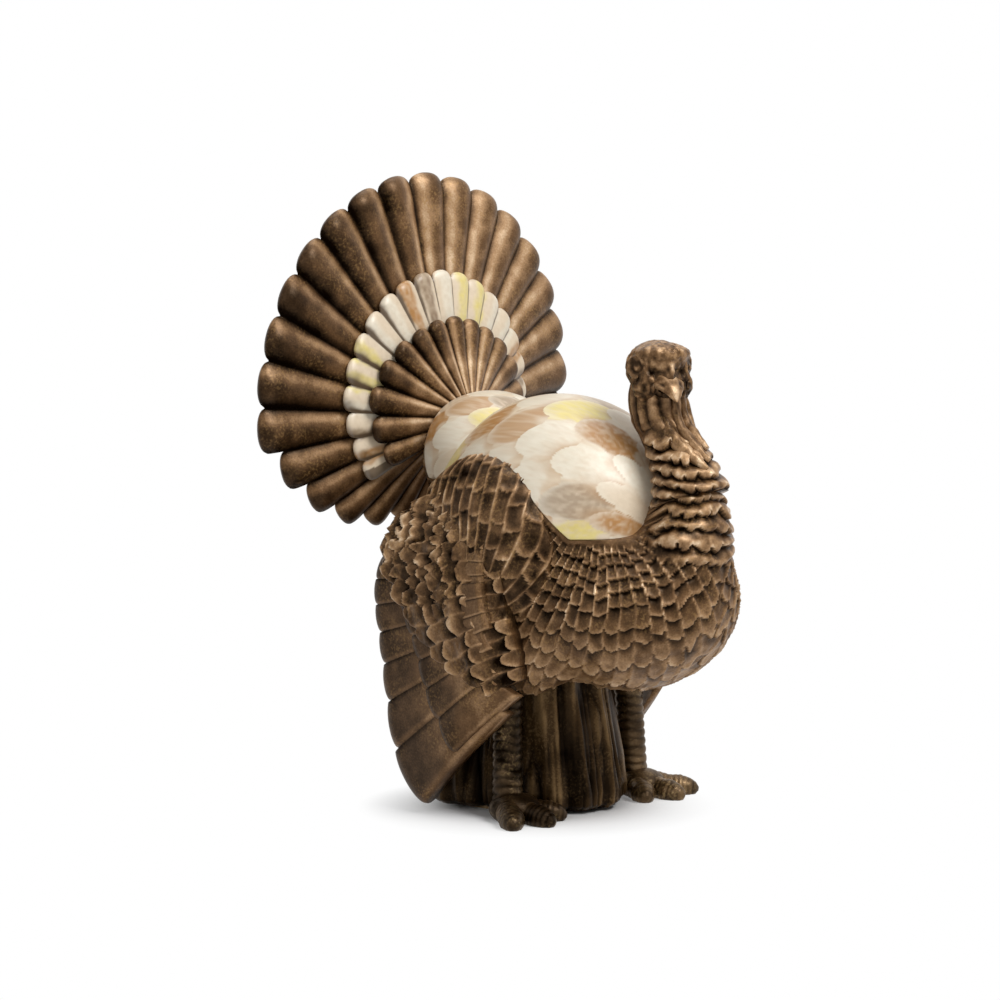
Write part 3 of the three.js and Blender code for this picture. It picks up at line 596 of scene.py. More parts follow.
def torso_skin():
    """The torso with its breast feathers, which lie in rows round each side of the saddle."""
    rings = star_surface(HEART, breast_directions(), torso_distance)
    down, turn = round_saddle(rings)
    column = turn * BREAST_COLUMNS / (2 * math.pi) + 0.22 * noise(rings, 12.0, 3) + 0.004 * down
    row = BREAST_ROWS * np.log1p(down / BREAST_GROWTH) + 0.3 * noise(rings, 9.0, 5)
    low = smooth(*BREAST_LOW, down)
    feather = tiles(column, row, 0.05 + 0.3 * low)
    lively = 0.8 + 0.45 * noise(rings, 9.0, 8)
    string = feather.side * (1 - 0.6 * low)
    cord = lively * np.maximum(string, (0.45 + 0.05 * low) * feather.rim)
    height = lively * (0.4 + 0.2 * low) * feather.along ** 1.4 + 1.6 * cord
    height = height - 0.9 * (1 - low) * feather.pit - 1.7 + 0.5 * rough(rings, 5.0, 3, 9)
    # Painted shade in the pit below each tile's tip; cords lighter, dry-brushed and with a painted highlight.
    relief = 0.215 + 0.19 * low + 0.16 * feather.along - (0.2 - 0.06 * low) * feather.pit
    relief = relief + (0.5 - 0.3 * low) * cord
    folds, fold_relief = ruffles(rings)
    near_neck = smooth(5, 2, ellipsoid_distance(rings, TORSO["collar"]))
    near_neck = near_neck * smooth(*RUFFLE_FOOT, rings[..., 2])
    plain = smooth(1.0, 3.5, down)
    height = blend(plain * height, folds, near_neck) - SKIN_INSET
    relief = blend(blend(0.38, relief, plain), fold_relief, near_neck)
    relief = relief + 0.1 * noise(rings, 4.0, 12)
    return rings_mesh(raised(rings, HEART, height), relief)


def split_at(mesh, y, keep_front):
    """The part of a closed mesh in front of an upright plane, or behind it, with its cut closed."""
    points, faces, relief = mesh
    kept = (points[:, 1] < y) == keep_front
    chosen = [face for face in faces if kept[list(face)].any()]
    used = np.unique([i for face in chosen for i in face])
    number = {int(old): new for new, old in enumerate(used)}
    chosen = [tuple(number[i] for i in face) for face in chosen]
    moved, relief = points[used], relief[used]
    moved[~kept[used], 1] = y
    rim = open_rim(chosen)
    middle = len(moved)
    moved = np.vstack([moved, moved[[a for a, _ in rim]].mean(axis=0)])
    relief = np.append(relief, 0.2)
    chosen += [(b, a, middle) for a, b in rim]
    return moved, chosen, relief


def open_rim(faces):
    """The edges that belong to one face only."""
    edges = {edge for face in faces for edge in zip(face, face[1:] + face[:1])}
    return sorted((a, b) for a, b in edges if (b, a) not in edges)


# Enamelled lobes

CREAM = vec(0.70, 0.58, 0.43)
PALE = vec(0.77, 0.70, 0.57)
TAN = vec(0.42, 0.205, 0.06)
YELLOW = vec(0.74, 0.62, 0.22)
UMBER = vec(0.25, 0.165, 0.095)
PAINTS = [PALE, TAN, PALE, CREAM, YELLOW, PALE, 0.7 * UMBER + 0.3 * CREAM, 0.7 * TAN + 0.3 * CREAM, PALE]

LOBES = {  # form, pole, columns and pitch of the painted leaves, rear limit in y, seed of the paint
    "back": ("egg", vec(0, 0, 1), 16, 21.0, 200.0, 85),
    "rump": ("rump", vec(0, -0.3, 1), 13, 17.0, TAIL_SEAT, 82),
}


def painted_over(ground, colour, share):
    return blend(ground, colour, np.clip(share, 0, 1)[..., None])


def painted_feathers(points, centre, columns, pitch, seed):
    """Colours of large painted leaves that overlap towards the tail, brushed from root to tip."""
    local = points - centre
    turn = np.arctan2(local[..., 0], local[..., 2] + 6) / (2 * math.pi) * columns
    row = (local[..., 1] + 100) / pitch
    leaf = shingles(turn + 0.25 + 0.35 * row, row, lap=0.35, tip=0.7)
    hue = np.array(PAINTS)[(3 * leaf.rank + 2 * leaf.file + seed).astype(int) % len(PAINTS)]
    toning = 0.85 + 0.45 * noise(points * vec(1, 0.1, 1), 1.2, seed)
    wander = 0.25 * noise(points, 6.0, seed + 2)
    fade = smooth(0.0, 0.2, leaf.along + wander) * smooth(1.05, 0.85, np.abs(leaf.across) + wander)
    colour = painted_over(painted_over(CREAM, hue, fade * toning), PALE, 0.5 * leaf.rim)
    line = 0.55 * leaf.pit * smooth(-0.4, 0.4, noise(points, 12.0, seed + 4))
    return painted_over(colour, TAN, line)


def painted_lobes(band):
    """Colours of the tail's pale band: a brushed flame up the middle of each lobe, and bare end lobes."""
    points, _, relief = band
    tier = TAIL_TIERS["tail_band"]
    local = points - TAIL.apex
    turn = np.degrees(np.arctan2(local[:, 0] / TAIL.width, local[:, 2])) / tier.step
    lobe = np.round(turn)
    across = 2 * (turn - lobe)
    hue = np.array([PALE, TAN, PALE, YELLOW, UMBER, PALE, YELLOW])[(lobe.astype(int) * 3) % 7]
    wander = 0.3 * noise(points, 5.0, 85)
    flame = smooth(0.85, 0.35, np.abs(across - 0.1) + wander) * (0.8 + 0.3 * noise(points, 1.5, 86))
    bare = np.maximum(smooth(0.3, 0.1, relief), 0.9 * (np.abs(lobe) > tier.count / 2 - 1))
    return painted_over(painted_over(CREAM, hue, flame), 0.5 * UMBER, bare)


def enamelled_lobe(form, pole, columns, pitch, rear_limit, seed):
    """A lobe of the back as a shell with a clean lower edge, and its paint."""
    centre, radii = TORSO[form]
    spokes, rings = 380, 170
    pole = unit(pole)
    around = spokes_about(pole, unit(np.cross(vec(1, 0, 0), pole)), full_turn(spokes))

    def surface(fall):
        heading = np.cos(fall)[..., None] * pole + np.sin(fall)[..., None] * around
        return centre + heading / np.linalg.norm(heading / radii, axis=-1, keepdims=True)

    def inside(fall):
        _, y, z = surface(fall).T
        return (z > saddle_edge(y) + SADDLE_GAP) & (y < rear_limit)

    edge = last_inside(inside, spokes, math.pi, 30)
    outer = np.stack([surface(edge * share) for share in np.linspace(0.004, 1, rings)])
    inner = blend(centre, outer, 1 - SADDLE_THICKNESS / np.mean(radii))
    mesh = rings_mesh(np.concatenate([outer, inner[::-6]]), 0.5)
    return mesh, painted_feathers(mesh[0], centre, columns, pitch, seed)


# Tail

def fan_point(angle, reach, height):
    length, sweep = TAIL.length, TAIL.sweep
    front = height - TAIL.dip * (1 - (reach / length) ** 2)
    radius = reach * math.cos(sweep) + front * math.sin(sweep)
    back = reach * math.sin(sweep) - front * math.cos(sweep)
    x = TAIL.width * radius * np.sin(angle)
    z = radius * np.cos(angle) + TAIL.rise * reach / length
    c, s = math.cos(TAIL.tilt), math.sin(TAIL.tilt)
    return TAIL.apex + places(x, c * back - s * z, s * back + c * z)


def ridged(u):
    """Across a rounded feather, gentle on the side it turns up: height, drop of the tip and relief, with a
    painted highlight on one flank and painted shade in the grooves.
    """
    height = 0.06 + 0.94 * math.sin(math.pi * (0.02 + 0.96 * u) ** 1.35) ** 0.75
    drop = 1 - (1 - abs(2 * u - 1) ** 2.3) ** (1 / 2.3)
    flank = bell(u - 0.24, 0.16)
    groove = bell(1 - u, 0.14) + bell(u, 0.06)
    return height, drop, 0.32 + 0.24 * flank - 0.3 * groove


def lapped(u):
    """Across a flat feather whose far edge lies over the next one, with a painted highlight on its lip and
    painted shade along the edge that lies under its neighbour.
    """
    lip = bell(0.93 - u, 0.06)
    height = (0.1 + 0.8 * u ** 0.8 + 0.1 * lip) * (1 - u ** 26)
    drop = 1 - (1 - 0.98 * u ** 3.2) ** 0.5 + 0.25 * (1 - u) ** 6
    return height, drop, 0.29 + 0.12 * lip - 0.2 * bell(u, 0.08)


def feather_rows(tier, feathers, place, profile, across):
    """A tier of feathers side by side, as a skin round its front and its back. Each feather has an angle,
    half its width, a root, the lengths of its two edges and the side that it leans to."""
    along, back_rows = 46, 16
    columns, reliefs = [], []
    share = 1 - (1 - np.linspace(0, 1, along)) ** 1.7
    round_off = np.sqrt(1 - 0.97 * np.clip((share - 0.9) / 0.1, 0, 1) ** 2)
    fullness = blend(tier.crown, tier.tip_crown, smooth(0.5, 0.8, share))
    pick = np.linspace(0, along - 1, back_rows).astype(int)[::-1]
    for angle, half_step, root, (first, last), lean in feathers:
        drawn_in = tier.tip_round * half_step * (first + last)
        for share_across in np.linspace(-0.98, 0.98, across):
            bulge, drop, light = profile((share_across * lean + 1) / 2)
            length = blend(first, last, (1 + share_across) / 2)
            reach = blend(root, length - drop * drawn_in, share)
            crown = fullness * reach * half_step * bulge
            front = (tier.thickness / 2 + crown) * round_off
            behind = -(tier.thickness / 2 + 0.12 * crown)[pick] * round_off[pick]
            heights = np.concatenate([front, behind])
            reaches = np.concatenate([reach, reach[pick]])
            columns.append(place(angle + share_across * half_step, reaches, tier.lift + heights))
            # The profile's painted highlight and painted shade, lighter towards the root and darker at the
            # tip; the back is darker still.
            toning = light + 0.14 * smooth(0.8, 0.4, share) - 0.06 * smooth(0.8, 1, share)
            reliefs.append(np.concatenate([toning, toning[pick] - 0.08]))
    return rings_mesh(np.array(columns), np.array(reliefs))


def tail_tier(name):
    tier = TAIL_TIERS[name]
    half_step = math.radians(tier.step / 2)
    last = (tier.count - 1) / 2 * tier.step
    feathers = []
    for k in range(tier.count):
        turn = -last + k * tier.step
        lowness = max(0, abs(turn) - tier.short_from) / (last - tier.short_from)
        aside = smooth(20, 90, abs(turn))
        length = tier.length * blend(1, tier.short_to, lowness) * blend(1, tier.side_to, aside)
        lean = math.copysign(1, turn)
        feathers.append((math.radians(turn), half_step, tier.root, (length, length), lean))
    points, faces, relief = feather_rows(tier, feathers, fan_point, ridged, 21)
    # Painted light: the fan is lighter towards the bird's left side and towards its top, where the light
    # falls.
    toning = 0.12 * smooth(-80, 20, points[:, 0]) + 0.04 * smooth(230, 300, points[:, 2]) - 0.04
    return points, faces, relief + toning + tier.light + 0.12 * rough(points, 6.0, 3, 21)


# Wings

def wing_reach(y, z):
    """How far the wing's outer face stands from the middle of the bird."""
    face = WING_FACE
    shoulder = face.shoulder_bend * np.maximum(0, z - face.shoulder) ** 2
    tip = face.tip_bend * np.maximum(0, face.tip - z) ** 2
    front = face.front_bend * np.maximum(0, face.front - y - face.front_slope * z) ** 2
    return face.out - shoulder - tip - front


def wing_point(angle, reach, height):
    y = WING_HUB[0] + reach * np.cos(angle)
    z = WING_HUB[1] + reach * np.sin(angle)
    return places(-wing_reach(y, z) - height, y, z)


def wing_tier(tier):
    feathers = []
    edge = tier.start
    for width, root, *lengths in tier.feathers:
        feathers.append((math.radians(edge + width / 2), math.radians(width / 2), root, lengths, -1))
        edge += width
    points, faces, relief = feather_rows(tier, feathers, wing_point, lapped, 25)
    return points, faces, relief + 0.1 * rough(points, 8.0, 3, 45)


def covert_field():
    """Short feathers over the flights' roots: tiles in the middle, ragged tufts towards the back."""
    rows, spokes = 136, 200
    ends, roots, lengths = zip(*WING_COVERTS.ends)
    degrees = np.linspace(ends[0], ends[-1], spokes)[None, :]
    column = degrees / WING_COVERTS.step + 0.3
    bend = 1 - (2 * (column - np.floor(column)) - 1) ** 2
    share = np.linspace(0, 1, rows)[:, None]
    length = np.interp(degrees, ends, lengths) - 4.5 * (1 - np.sqrt(bend))
    root = np.interp(degrees, ends, roots)
    reach = blend(root, length, share)
    angle = np.broadcast_to(np.radians(degrees), reach.shape)
    flat = wing_point(angle, reach, np.zeros_like(reach))
    row = reach / WING_COVERTS.pitch + 0.3 * noise(flat, 9.0, 44)
    feather = tiles(column + 0.2 * noise(flat, 9.0, 43), row, 0.16)
    cord = np.maximum(feather.side, feather.rim) * (0.8 + 0.5 * noise(flat, 8.0, 46))
    lumps = rough(flat, 7.0, 3, 41)
    tuft_column = degrees / WING_COVERTS.tuft_step + 0.6 * noise(flat, 7.0, 47)
    tuft = shingles(tuft_column, reach / WING_COVERTS.tuft_pitch + 0.6 * noise(flat, 6.0, 48), 0.3, 0.6)
    ragged = smooth(-17, -8, degrees) * smooth(94, 106, reach)
    tiled = 0.9 * feather.along ** 1.5 + 0.6 * cord
    tufted = 2.6 * tuft.along + 0.6 * tuft.rim - 0.8 * tuft.pit
    height = blend(tiled, tufted, ragged) + 1.6 * lumps
    taper = np.sqrt(np.clip(1 - ((share - 0.94) / 0.06).clip(0, 1) ** 2, 0.02, 1))
    sink = 0.02 * np.maximum(0, degrees - 6) ** 2 + 8 * smooth(0.45, 0, share) ** 1.3
    front = (WING_COVERTS.thickness + height) * taper - sink
    back = np.full_like(reach, -WING_COVERTS.depth) - sink
    # Painted shade in the pit below each tip; cords and rims lighter, with a painted highlight.
    tile_light = 0.3 + 0.14 * feather.along + 0.22 * cord - 0.28 * feather.pit
    tuft_light = 0.23 + 0.26 * tuft.along + 0.22 * tuft.rim - 0.3 * tuft.pit
    tuft_light = tuft_light + 0.16 * noise(flat, 2.4, 49)
    relief = blend(tile_light, tuft_light, ragged) + 0.22 * lumps
    outer = wing_point(angle, reach, front).transpose(1, 0, 2)
    inner = wing_point(angle, reach, back).transpose(1, 0, 2)[:, ::-6]
    light = np.concatenate([relief.T, np.full((spokes, inner.shape[1]), 0.2)], axis=1)
    return rings_mesh(np.concatenate([outer, inner], axis=1), light)


def shoulder_dome():
    """The shoulder, covered with columns of long tiles edged by raised cords."""
    centre, radii = WING_SHOULDER
    rows, spokes = 140, 310
    directions = polar_directions(vec(0.5, 0.1, 1), rows, spokes)
    rings = centre + directions / np.linalg.norm(directions / radii, axis=-1, keepdims=True)
    column = np.linspace(0, SHOULDER_COLUMNS, spokes, endpoint=False)[None, :]
    column = column + 0.25 * noise(rings, 14.0, 31)
    steps = np.linalg.norm(np.diff(rings, axis=0, prepend=rings[:1]), axis=-1)
    row = np.cumsum(steps, axis=0) / SHOULDER_PITCH + 0.25 * noise(rings, 10.0, 32)
    feather = tiles(column, row, 0.06)
    sides = bell(1 - np.abs(feather.across), 0.2)
    cord = np.maximum(0.8 * feather.rim, sides) * (0.9 + 0.4 * noise(rings, 8.0, 35))
    lumps = rough(rings, 6.0, 3, 33)
    height = 0.25 * feather.along + 0.5 * (1 - feather.across ** 2) + 1.2 * cord - 1.6 + 0.5 * lumps
    # Cords lighter, dry-brushed and with a painted highlight; painted shade in the pit below each tile.
    relief = 0.28 + 0.38 * cord - 0.12 * feather.pit + 0.3 * lumps
    return rings_mesh(raised(rings, centre, height), relief)


def right_wing():
    tiers = [wing_tier(tier) for tier in (WING_FLIGHTS, WING_GREATER_COVERTS)]
    return joined([shoulder_dome(), *tiers, covert_field()])


# Neck and head

def along_line(points, count):
    """Evenly spread points on a smooth curve through some points."""
    points = np.array(points, float)
    padded = np.vstack([2 * points[0] - points[1], points, 2 * points[-1] - points[-2]])
    place = np.linspace(0, 1, count) * (len(points) - 1)
    k = np.minimum(place.astype(int), len(points) - 2)
    t = (place - k)[:, None]
    a, b, c, d = (padded[k + i] for i in range(4))
    bend, twist = 2 * a - 5 * b + 4 * c - d, 3 * b - a - 3 * c + d
    return 0.5 * (2 * b + (c - a) * t + bend * t ** 2 + twist * t ** 3)


def tube(line, radii, sides):
    """A tube along a line of points, as rings."""
    heading = unit(np.gradient(line, axis=0))
    side = unit(np.cross(heading, vec(0.02, 1, 0.05)))
    other = np.cross(side, heading)
    turn = full_turn(sides)
    ring = np.cos(turn)[None, :, None] * side[:, None] + np.sin(turn)[None, :, None] * other[:, None]
    return line[:, None] + ring * np.asarray(radii)[:, None, None]


def neck_skin():
    """The neck: wavy folds round its foot, hanging folds below the head."""
    rows, sides = 150, 170
    y, z, radii = along_line(NECK_LINE, rows).T
    line = places(0, y, z)
    rings = tube(line, radii, sides)
    local = rings - line[:, None]
    turn = np.arctan2(local[..., 0], -local[..., 1])
    folds, fold_relief = ruffles(rings)
    hang = np.abs(np.cos(6.5 * turn + 0.7 * noise(rings, 8.0, 51) + 0.6)) ** 0.8
    creases = 0.5 * noise(rings * vec(1, 1, 1.6), 3.4, 52)
    upper = smooth(*NECK_FOLDS_TOP, rings[..., 2])
    height = blend(folds, 1.7 * (hang - 0.6) + 0.5 * creases, upper)
    # Hanging folds lighter on their crests as painted highlight and darker between them as painted shade.
    relief = blend(fold_relief, 0.09 + 0.42 * hang + 0.2 * creases, upper)
    return rings_mesh(raised(rings, line[:, None], height), relief)


def turned_head(mesh):
    points, faces, relief = mesh
    c, s = math.cos(HEAD_TURN), math.sin(HEAD_TURN)
    x, y, z = points.T
    return HEAD_MIDDLE + places(c * x - s * y, s * x + c * y, z), faces, relief


# Forms of the head about its middle, before it is turned: it looks to -Y
SKULL = [
    (vec(0, 0, 0), vec(15, 15, 13)), (vec(0, -6.5, 6.5), vec(14, 9.5, 5.5)),
    (vec(8.5, -6, -8), vec(6.5, 8, 8)), (vec(-8.5, -6, -8), vec(6.5, 8, 8)),
    (vec(0, -10, -4), vec(5, 6.5, 8)), (vec(0, -8, -12), vec(7, 8, 4)),
    (vec(0, -13.5, -0.8), vec(1.7, 3.6, 6)),
]
SKULL_FILLET = 2.0
SIDES = [vec(1, 1, 1), vec(-1, 1, 1)]  # left and right
# Places that fall in on each side: middle, half sizes and depth
HOLLOWS = [(vec(6, -13.5, -1.5), vec(3, 5, 2.4), 2.4), (vec(10.5, -11, -7), vec(2.4, 5, 3), 1.6)]
EYE_MIDDLE = vec(13, -6.4, 0.5)
EYE_RADIUS = 5.6
BEAK_LINE = [(0, -8, -7.4), (0, -13.5, -8.4), (0, -18.5, -11.2), (0, -22, -15.7)]
BEAK_RADIUS, BEAK_WIDTH = 4.8, 2.1  # half its height at the root, and its width in heights


def skull():
    """The head with its brow, its hollows and the ridge that runs down to the beak."""
    centre = vec(0, -4, -2)
    directions = polar_directions(vec(0, 0, 1), 170, 220)
    rings = star_surface(centre, directions, lambda p: run_together(
        [ellipsoid_distance(p, form) for form in SKULL], SKULL_FILLET), 60.0)
    folds = np.abs(noise(rings * vec(1, 0.8, 0.6), 2.8, 61)) ** 0.7
    below = smooth(4, -3, rings[..., 2])
    height = (0.3 + 0.9 * below) * (folds - 0.4) + 0.22 * noise(rings, 1.4, 64)
    # Painted shade below the brow, folds lighter on their crests, and a painted highlight down the ridge.
    relief = 0.34 + 0.14 * (1 - below) + (0.2 + 0.25 * below) * (folds - 0.4) + 0.18 * noise(rings, 2.0, 67)
    ridge = bell(rings[..., 0], 1.6) * smooth(4, 1, rings[..., 2])
    relief = relief + 0.12 * ridge * smooth(-9, -13, rings[..., 1])
    # Each hollow sinks in and is darkened as painted shade.
    for (place, size, depth), side in product(HOLLOWS, SIDES):
        near = np.exp(-0.9 * np.sum(((rings - place * side) / size) ** 2, axis=-1))
        height = height - depth * near
        relief = relief - 0.26 * near
    return rings_mesh(raised(rings, centre, height), relief)


def eye(place):
    """A closed eye: a mound of skin with rings of folds."""
    heading = unit(place * vec(1, 1.7, 0.3))
    side = unit(np.cross(vec(0, 0, 1), heading))
    up = np.cross(heading, side)
    turn = full_turn(60)[None, :]
    share = np.linspace(0.02, 1, 50)[:, None]
    flat = places(share * np.cos(turn), share * np.sin(turn), 0)
    bent = 0.22 * noise(flat, 0.5, 57) + 0.12 * noise(flat, 0.22, 58)
    curl = np.cos(2 * math.pi * (1.1 * share + bent + 0.1 * np.sin(turn)))
    height = 2.4 * np.sqrt(np.maximum(0, 1 - share ** 2.4)) + 0.55 * curl * smooth(1, 0.8, share) - 0.8
    radius = (EYE_RADIUS * share)[..., None]
    rings = place + radius * (np.cos(turn)[..., None] * side + 1.15 * np.sin(turn)[..., None] * up)
    # Folds lighter on their crests; painted shade in the crease round the eye.
    return rings_mesh(rings + height[..., None] * heading, 0.38 + 0.2 * curl - 0.3 * share ** 6)


def beak():
    """The beak: short and broad, with a keel above and a mouth line along each side."""
    rows, sides = 60, 96
    share = np.linspace(0, 1, rows)[:, None]
    line = along_line(BEAK_LINE, rows)
    turn = full_turn(sides)[None, :]
    keel = bell(np.sin(turn) + 1, 0.12)
    mouth = bell(np.sin(turn) - 0.42, 0.13) * smooth(0.1, 0.3, share)
    nostril = bell(np.sin(turn) + 0.62, 0.14) * bell(share - 0.45, 0.08)
    size = BEAK_RADIUS * (1 - share ** 1.15) ** 0.95 + 0.3
    rings = tube(line, size[:, 0], sides)
    height = size * (0.3 * keel - 0.16 * mouth - 0.16 * nostril) + 0.16 * noise(rings, 2.5, 68)
    skin = rings + unit(rings - line[:, None]) * height[..., None]
    # Painted highlight on the upper part and along the keel; painted shade on the underside, in the mouth
    # line and in the nostril.
    upper = smooth(0.45, 0.3, np.sin(turn))
    relief = 0.22 + 0.24 * upper + 0.18 * keel - 0.4 * mouth - 0.35 * nostril + 0.22 * noise(skin, 2.2, 66)
    return rings_mesh(skin * vec(BEAK_WIDTH, 1, 1), relief)


# Hanging lobes of skin: points of the lines they follow, each with a radius
WATTLES = [
    [(-5.5, -62, 199, 1.4), (-7, -65, 191.5, 2.4), (-7.5, -70, 185, 3.3), (-6.5, -77, 179, 3.3),
     (-3.5, -87, 172, 1.2)],
    [(-2, -65, 206, 1.8), (-2.5, -67, 197, 2.2), (-3, -70, 190.5, 2.6), (-3, -76, 184.5, 2.9),
     (-1, -86, 176, 1.2)],
    [(2.5, -65, 205, 2), (3, -67, 197, 2), (2.5, -70, 192, 2.2), (2, -75, 187, 2.4), (2, -82, 181, 1.2)],
    [(7, -61, 207, 2), (8, -63, 201, 2.6), (8, -65, 195, 2.6), (6.5, -69, 189, 2.4), (5, -75, 183, 1.4)],
]


def wattle(course, seed):
    *line, radii = along_line(course, 80).T
    line = places(*line)
    rings = tube(line, radii, 40)
    lumps = rough(rings * vec(1, 1, 0.5), 3.0, 2, seed)
    skin = rings + unit(rings - line[:, None]) * (0.45 * lumps)[..., None]
    down = np.linspace(0.3, 0.62, len(line))[:, None]
    return rings_mesh(skin, down + 0.3 * lumps)


def head_and_neck():
    face = [skull(), beak(), *(eye(EYE_MIDDLE * side) for side in SIDES)]
    flaps = [wattle(course, seed) for seed, course in enumerate(WATTLES, 65)]
    return joined([neck_skin(), *(turned_head(mesh) for mesh in face), *flaps])


# Legs

def leg(side):
    ankle, knee = LEG_ANKLE * vec(side, 1, 1), LEG_KNEE * vec(side, 1, 1)
    rows, sides = 110, 40
    share = np.linspace(0, 1, rows)
    line = blend(ankle, knee, share[:, None])
    swell = 1.08 - 0.08 * share + 0.5 * np.maximum(0, share - 0.6)
    rings = tube(line, LEG_RADIUS * swell, sides)
    plate = (1 - share[:, None]) * LEG_PLATES + 0.25 * np.cos(full_turn(sides)) ** 2
    plate = plate + 0.2 * noise(rings, 5.0, 91)
    bulge = np.sin(math.pi * (plate - np.floor(plate))) ** 0.6
    skin = raised(rings, line[:, None], 0.9 * bulge - 0.7)
    # Painted shade: the right leg, shaded by the wing and body, is darker than the left, and so are its pad
    # and toes.
    light = 0.145 + 0.115 * side
    shank = rings_mesh(skin, light + 0.2 * bulge + 0.2 * noise(skin, 6.0, 92))
    toes = [toe(ankle, side * math.radians(angle), length, light) for angle, length in TOES]
    return joined([shank, foot_pad(ankle, light), *toes])


def foot_pad(ankle, light):
    place, radii = FOOT_PAD
    rings = ankle * vec(1, 1, 0) + place + radii * polar_directions(vec(0, 0, 1), 40, 60)
    rings[..., 2] = np.maximum(rings[..., 2], FOOT_CLEARANCE)
    return rings_mesh(rings, light + 0.12 + 0.2 * noise(rings, 5.0, 94))


def toe(root, angle, length, light):
    heading = vec(math.sin(angle), -math.cos(angle), 0)
    share = np.linspace(-0.1, 1, 70)
    profile = np.interp(share, *zip(*TOE_PROFILE))
    line = root * vec(1, 1, 0) + heading * share[:, None] * length
    line[:, 2] = blend(*TOE_HEIGHTS, np.maximum(0, share))
    scutes = np.abs(np.cos(math.pi * share * length / TOE_PLATE))
    rings = tube(line, TOE_RADIUS * profile + 0.25 * (scutes - 0.6) * (share < 0.8), 30)
    rings[..., 2] = np.maximum(rings[..., 2], FOOT_CLEARANCE)
    return rings_mesh(rings, light + 0.1 + 0.18 * scutes[:, None] + 0.22 * noise(rings, 6.0, 93))


# Stump

def stump():
    """The stump, with flutes and lumps under bark that splits into upright strips."""
    rows, spokes = 120, 300
    height = blend(STUMP.foot, STUMP.height, np.linspace(0, 1, rows)[:, None])
    share = height / STUMP.height
    turn = full_turn(spokes)[None, :]
    size = blend(STUMP.foot_size, STUMP.top_size, np.minimum(1, share / STUMP.waist))
    drawn_in = np.interp(height, *zip(*STUMP.drawn_in))
    ridge = np.sin(STUMP.ridges * turn + 1.3 * np.sin(3 * turn) + 1.1 * share)
    lump = 1.6 * np.sin(3 * turn + 2 * share) + 1.2 * np.sin(5 * turn)
    out = STUMP.bark_radius
    place = places(out * np.cos(turn), out * np.sin(turn), height * STUMP.bark_stretch)
    bent = place + 1.6 * noise(place * vec(1, 1, 3), 6.0, 73)[..., None]
    strips = 1 - 2.0 * np.abs(noise(bent, 5.5, 71))
    splits = smooth(0.0, 0.4, np.abs(noise(bent, 3.2, 72)))
    grooves = 0.6 * np.clip(strips, -0.4, 1) + 0.6 * splits
    bark_height = STUMP.ridge_depth * ridge + lump - drawn_in + STUMP.groove_depth * (grooves - 0.8)
    wide, deep = (radius * size + bark_height for radius in STUMP.radii)
    rings = places(wide * np.cos(turn), STUMP_Y + deep * np.sin(turn), height)
    # Grooves darker and ridges lighter: the wash with painted shade in the grooves, painted highlight on the
    # ridges.
    relief = 0.48 + 0.1 * ridge + 0.45 * (grooves - 0.6) + 0.16 * rough(rings, 14.0, 3, 74)
    return rings_mesh(rings, relief)


# Assembly

brown = washed_resin("brown_resin", BROWN_STOPS, 0.2)
bark = washed_resin("bark_resin", BARK_STOPS, 0.2, gold=(0.16, 0.1, 0.045), metal=0.0, gloss=0.25)
bronze = washed_resin("leg_resin", LEG_STOPS, 0.16, gold=(0.36, 0.25, 0.11), metal=0.3, gloss=1.3)
cream = enamel("enamel")

torso = torso_skin()
make_piece("body", split_at(torso, TAIL_SEAT, True), brown, "brown_resin", "body_shell")
rear = split_at(torso, TAIL_SEAT + TAIL_GAP, False)
make_piece("tail_feathers", joined([tail_tier("tail_fan"), rear]), brown, "brown_resin", "tail_fan")
make_piece("covert_feathers", tail_tier("tail_coverts"), brown, "brown_resin", "tail_coverts")

band = tail_tier("tail_band")
make_piece("tail_band_lobes", band, cream, "enamel", "tail_band", paint=painted_lobes(band))

for name, lobe in LOBES.items():
    mesh, paint = enamelled_lobe(*lobe)
    make_piece(name + "_lobe", mesh, cream, "enamel", name + "_saddle", paint=paint)

wing = right_wing()
make_piece("wing_right", wing, brown, "brown_resin", "right_wing")
make_piece("wing_left", mirrored(wing), brown, "brown_resin", "left_wing")

make_piece("neck_head", head_and_neck(), brown, "brown_resin", "neck_and_head")

for name, side in (("left", 1), ("right", -1)):
    make_piece("leg_" + name, leg(side), bronze, "leg_resin", name + "_leg")

make_piece("stump", stump(), bark, "bark_resin", "stump_base")

steel = plain_steel("steel")
finishes = {name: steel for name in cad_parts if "pin" in name or "rod" in name}
finishes["base_plate"] = washed_resin("plate_resin", BARK_STOPS, 0.2)
finishes["base_cork"] = cork("cork")
for name, material in finishes.items():
    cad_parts[name].data.materials.clear()
    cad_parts[name].data.materials.append(material)


# Studio

def add_camera():
    azimuth, elevation = math.radians(CAMERA.azimuth), math.radians(CAMERA.elevation)
    away = Vector((math.sin(azimuth) * math.cos(elevation), -math.cos(azimuth) * math.cos(elevation),
                   math.sin(elevation)))
    data = bpy.data.cameras.new("camera")
    data.lens = CAMERA.lens
    data.sensor_width = CAMERA.sensor
    data.shift_x, data.shift_y = CAMERA.shift
    camera = add_object("camera", data)
    aim = Vector((CAMERA.aim + ROW_SHIFT) * MM)
    camera.location = aim + away * CAMERA.distance * MM
    camera.rotation_euler = (-away).to_track_quat("-Z", "Y").to_euler()
    bpy.context.scene.camera = camera
    return away


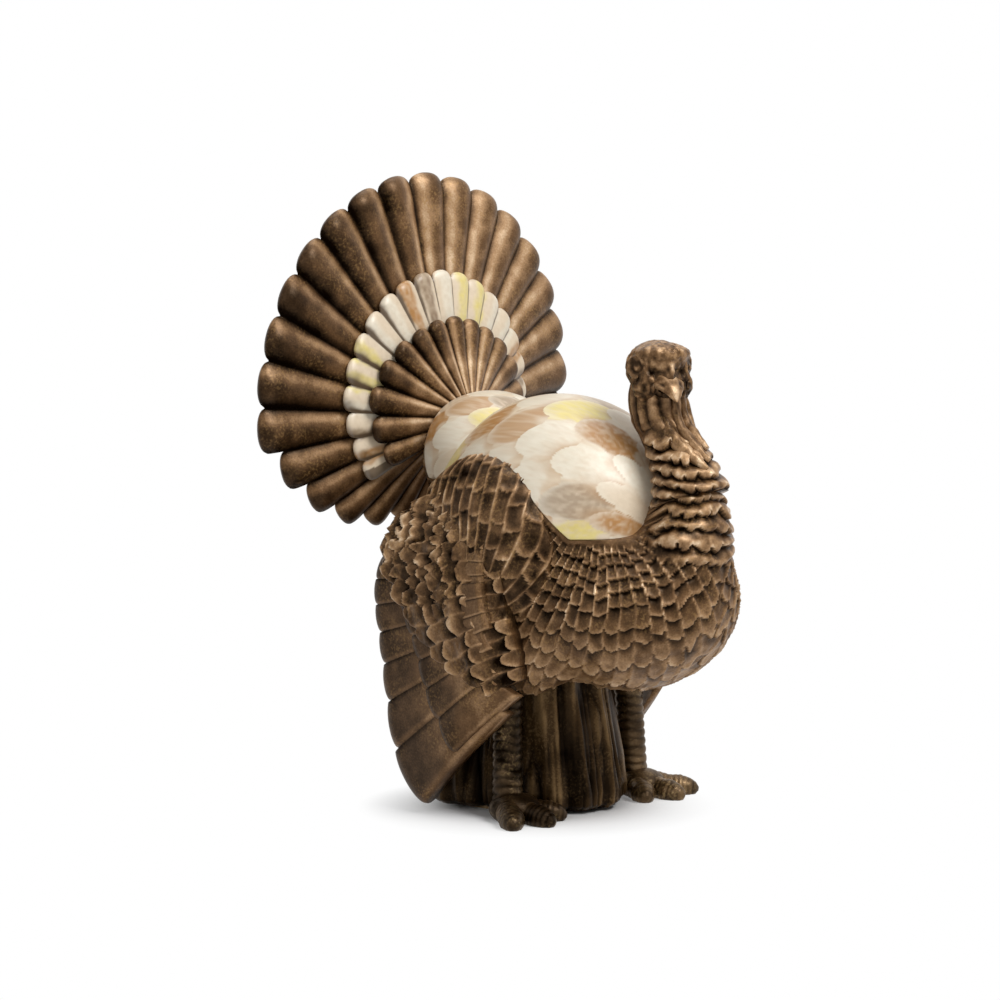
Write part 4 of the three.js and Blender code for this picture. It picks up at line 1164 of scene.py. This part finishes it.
def add_lamp(name, place, size, power):
    data = bpy.data.lights.new(name, "AREA")
    data.shape = "DISK"
    data.size = size
    data.energy = power
    lamp = add_object(name, data)
    lamp.location = place
    lamp.rotation_euler = (LAMP_AIM - place).to_track_quat("-Z", "Y").to_euler()


def add_floor():
    data = bpy.data.meshes.new("floor")
    corners = [(x * FLOOR_HALF, y * FLOOR_HALF, 0) for x, y in ((-1, -1), (1, -1), (1, 1), (-1, 1))]
    data.from_pydata(corners, [], [(0, 1, 2, 3)])
    nodes = Nodes("floor")
    paper = nodes.ramp(nodes.noise(400.0), [(0.0, (0.90, 0.90, 0.90)), (1.0, (0.92, 0.92, 0.92))])
    nodes.finish(Base_Color=paper, Roughness=0.9, Specular_IOR_Level=0.0)
    place = nodes.add("ShaderNodeTexCoord").outputs["Object"]
    far = nodes.add("ShaderNodeVectorMath", {0: place}, operation="LENGTH").outputs["Value"]
    fade = nodes.ramp(far, list(zip(SHADOW_FADE, (0.0, 1.0))))
    seen = nodes.seen_directly()
    white = nodes.add("ShaderNodeEmission", {"Color": (1, 1, 1), "Strength": 1.0})
    blend = nodes.add("ShaderNodeMixShader", {
        0: nodes.math("MULTIPLY", fade, seen), 1: nodes.shader.outputs[0], 2: white.outputs[0]})
    nodes.tree.links.new(blend.outputs[0], nodes.tree.nodes["Material Output"].inputs["Surface"])
    data.materials.append(nodes.material)
    floor = add_object("floor", data)
    floor.location = SHADOW_MIDDLE


def light_world():
    """A dim white studio, which the camera sees as plain white."""
    nodes = Nodes("studio", "worlds")
    strength = nodes.add("ShaderNodeMapRange", {
        "Value": nodes.seen_directly(), "To Min": WORLD_LIGHT, "To Max": 1.0})
    background = nodes.tree.nodes["Background"]
    nodes.put((1, 1, 1), background.inputs["Color"])
    nodes.put(strength.outputs[0], background.inputs["Strength"])
    bpy.context.scene.world = nodes.material


away = add_camera()
right = Vector((-away.y, away.x, 0)).normalized()
for name, (towards, aside, up, size, power) in LAMPS.items():
    add_lamp(name, away * towards + right * aside + Vector((0, 0, up)), size, power)
add_floor()
light_world()
bpy.context.scene.view_settings.view_transform = "Standard"
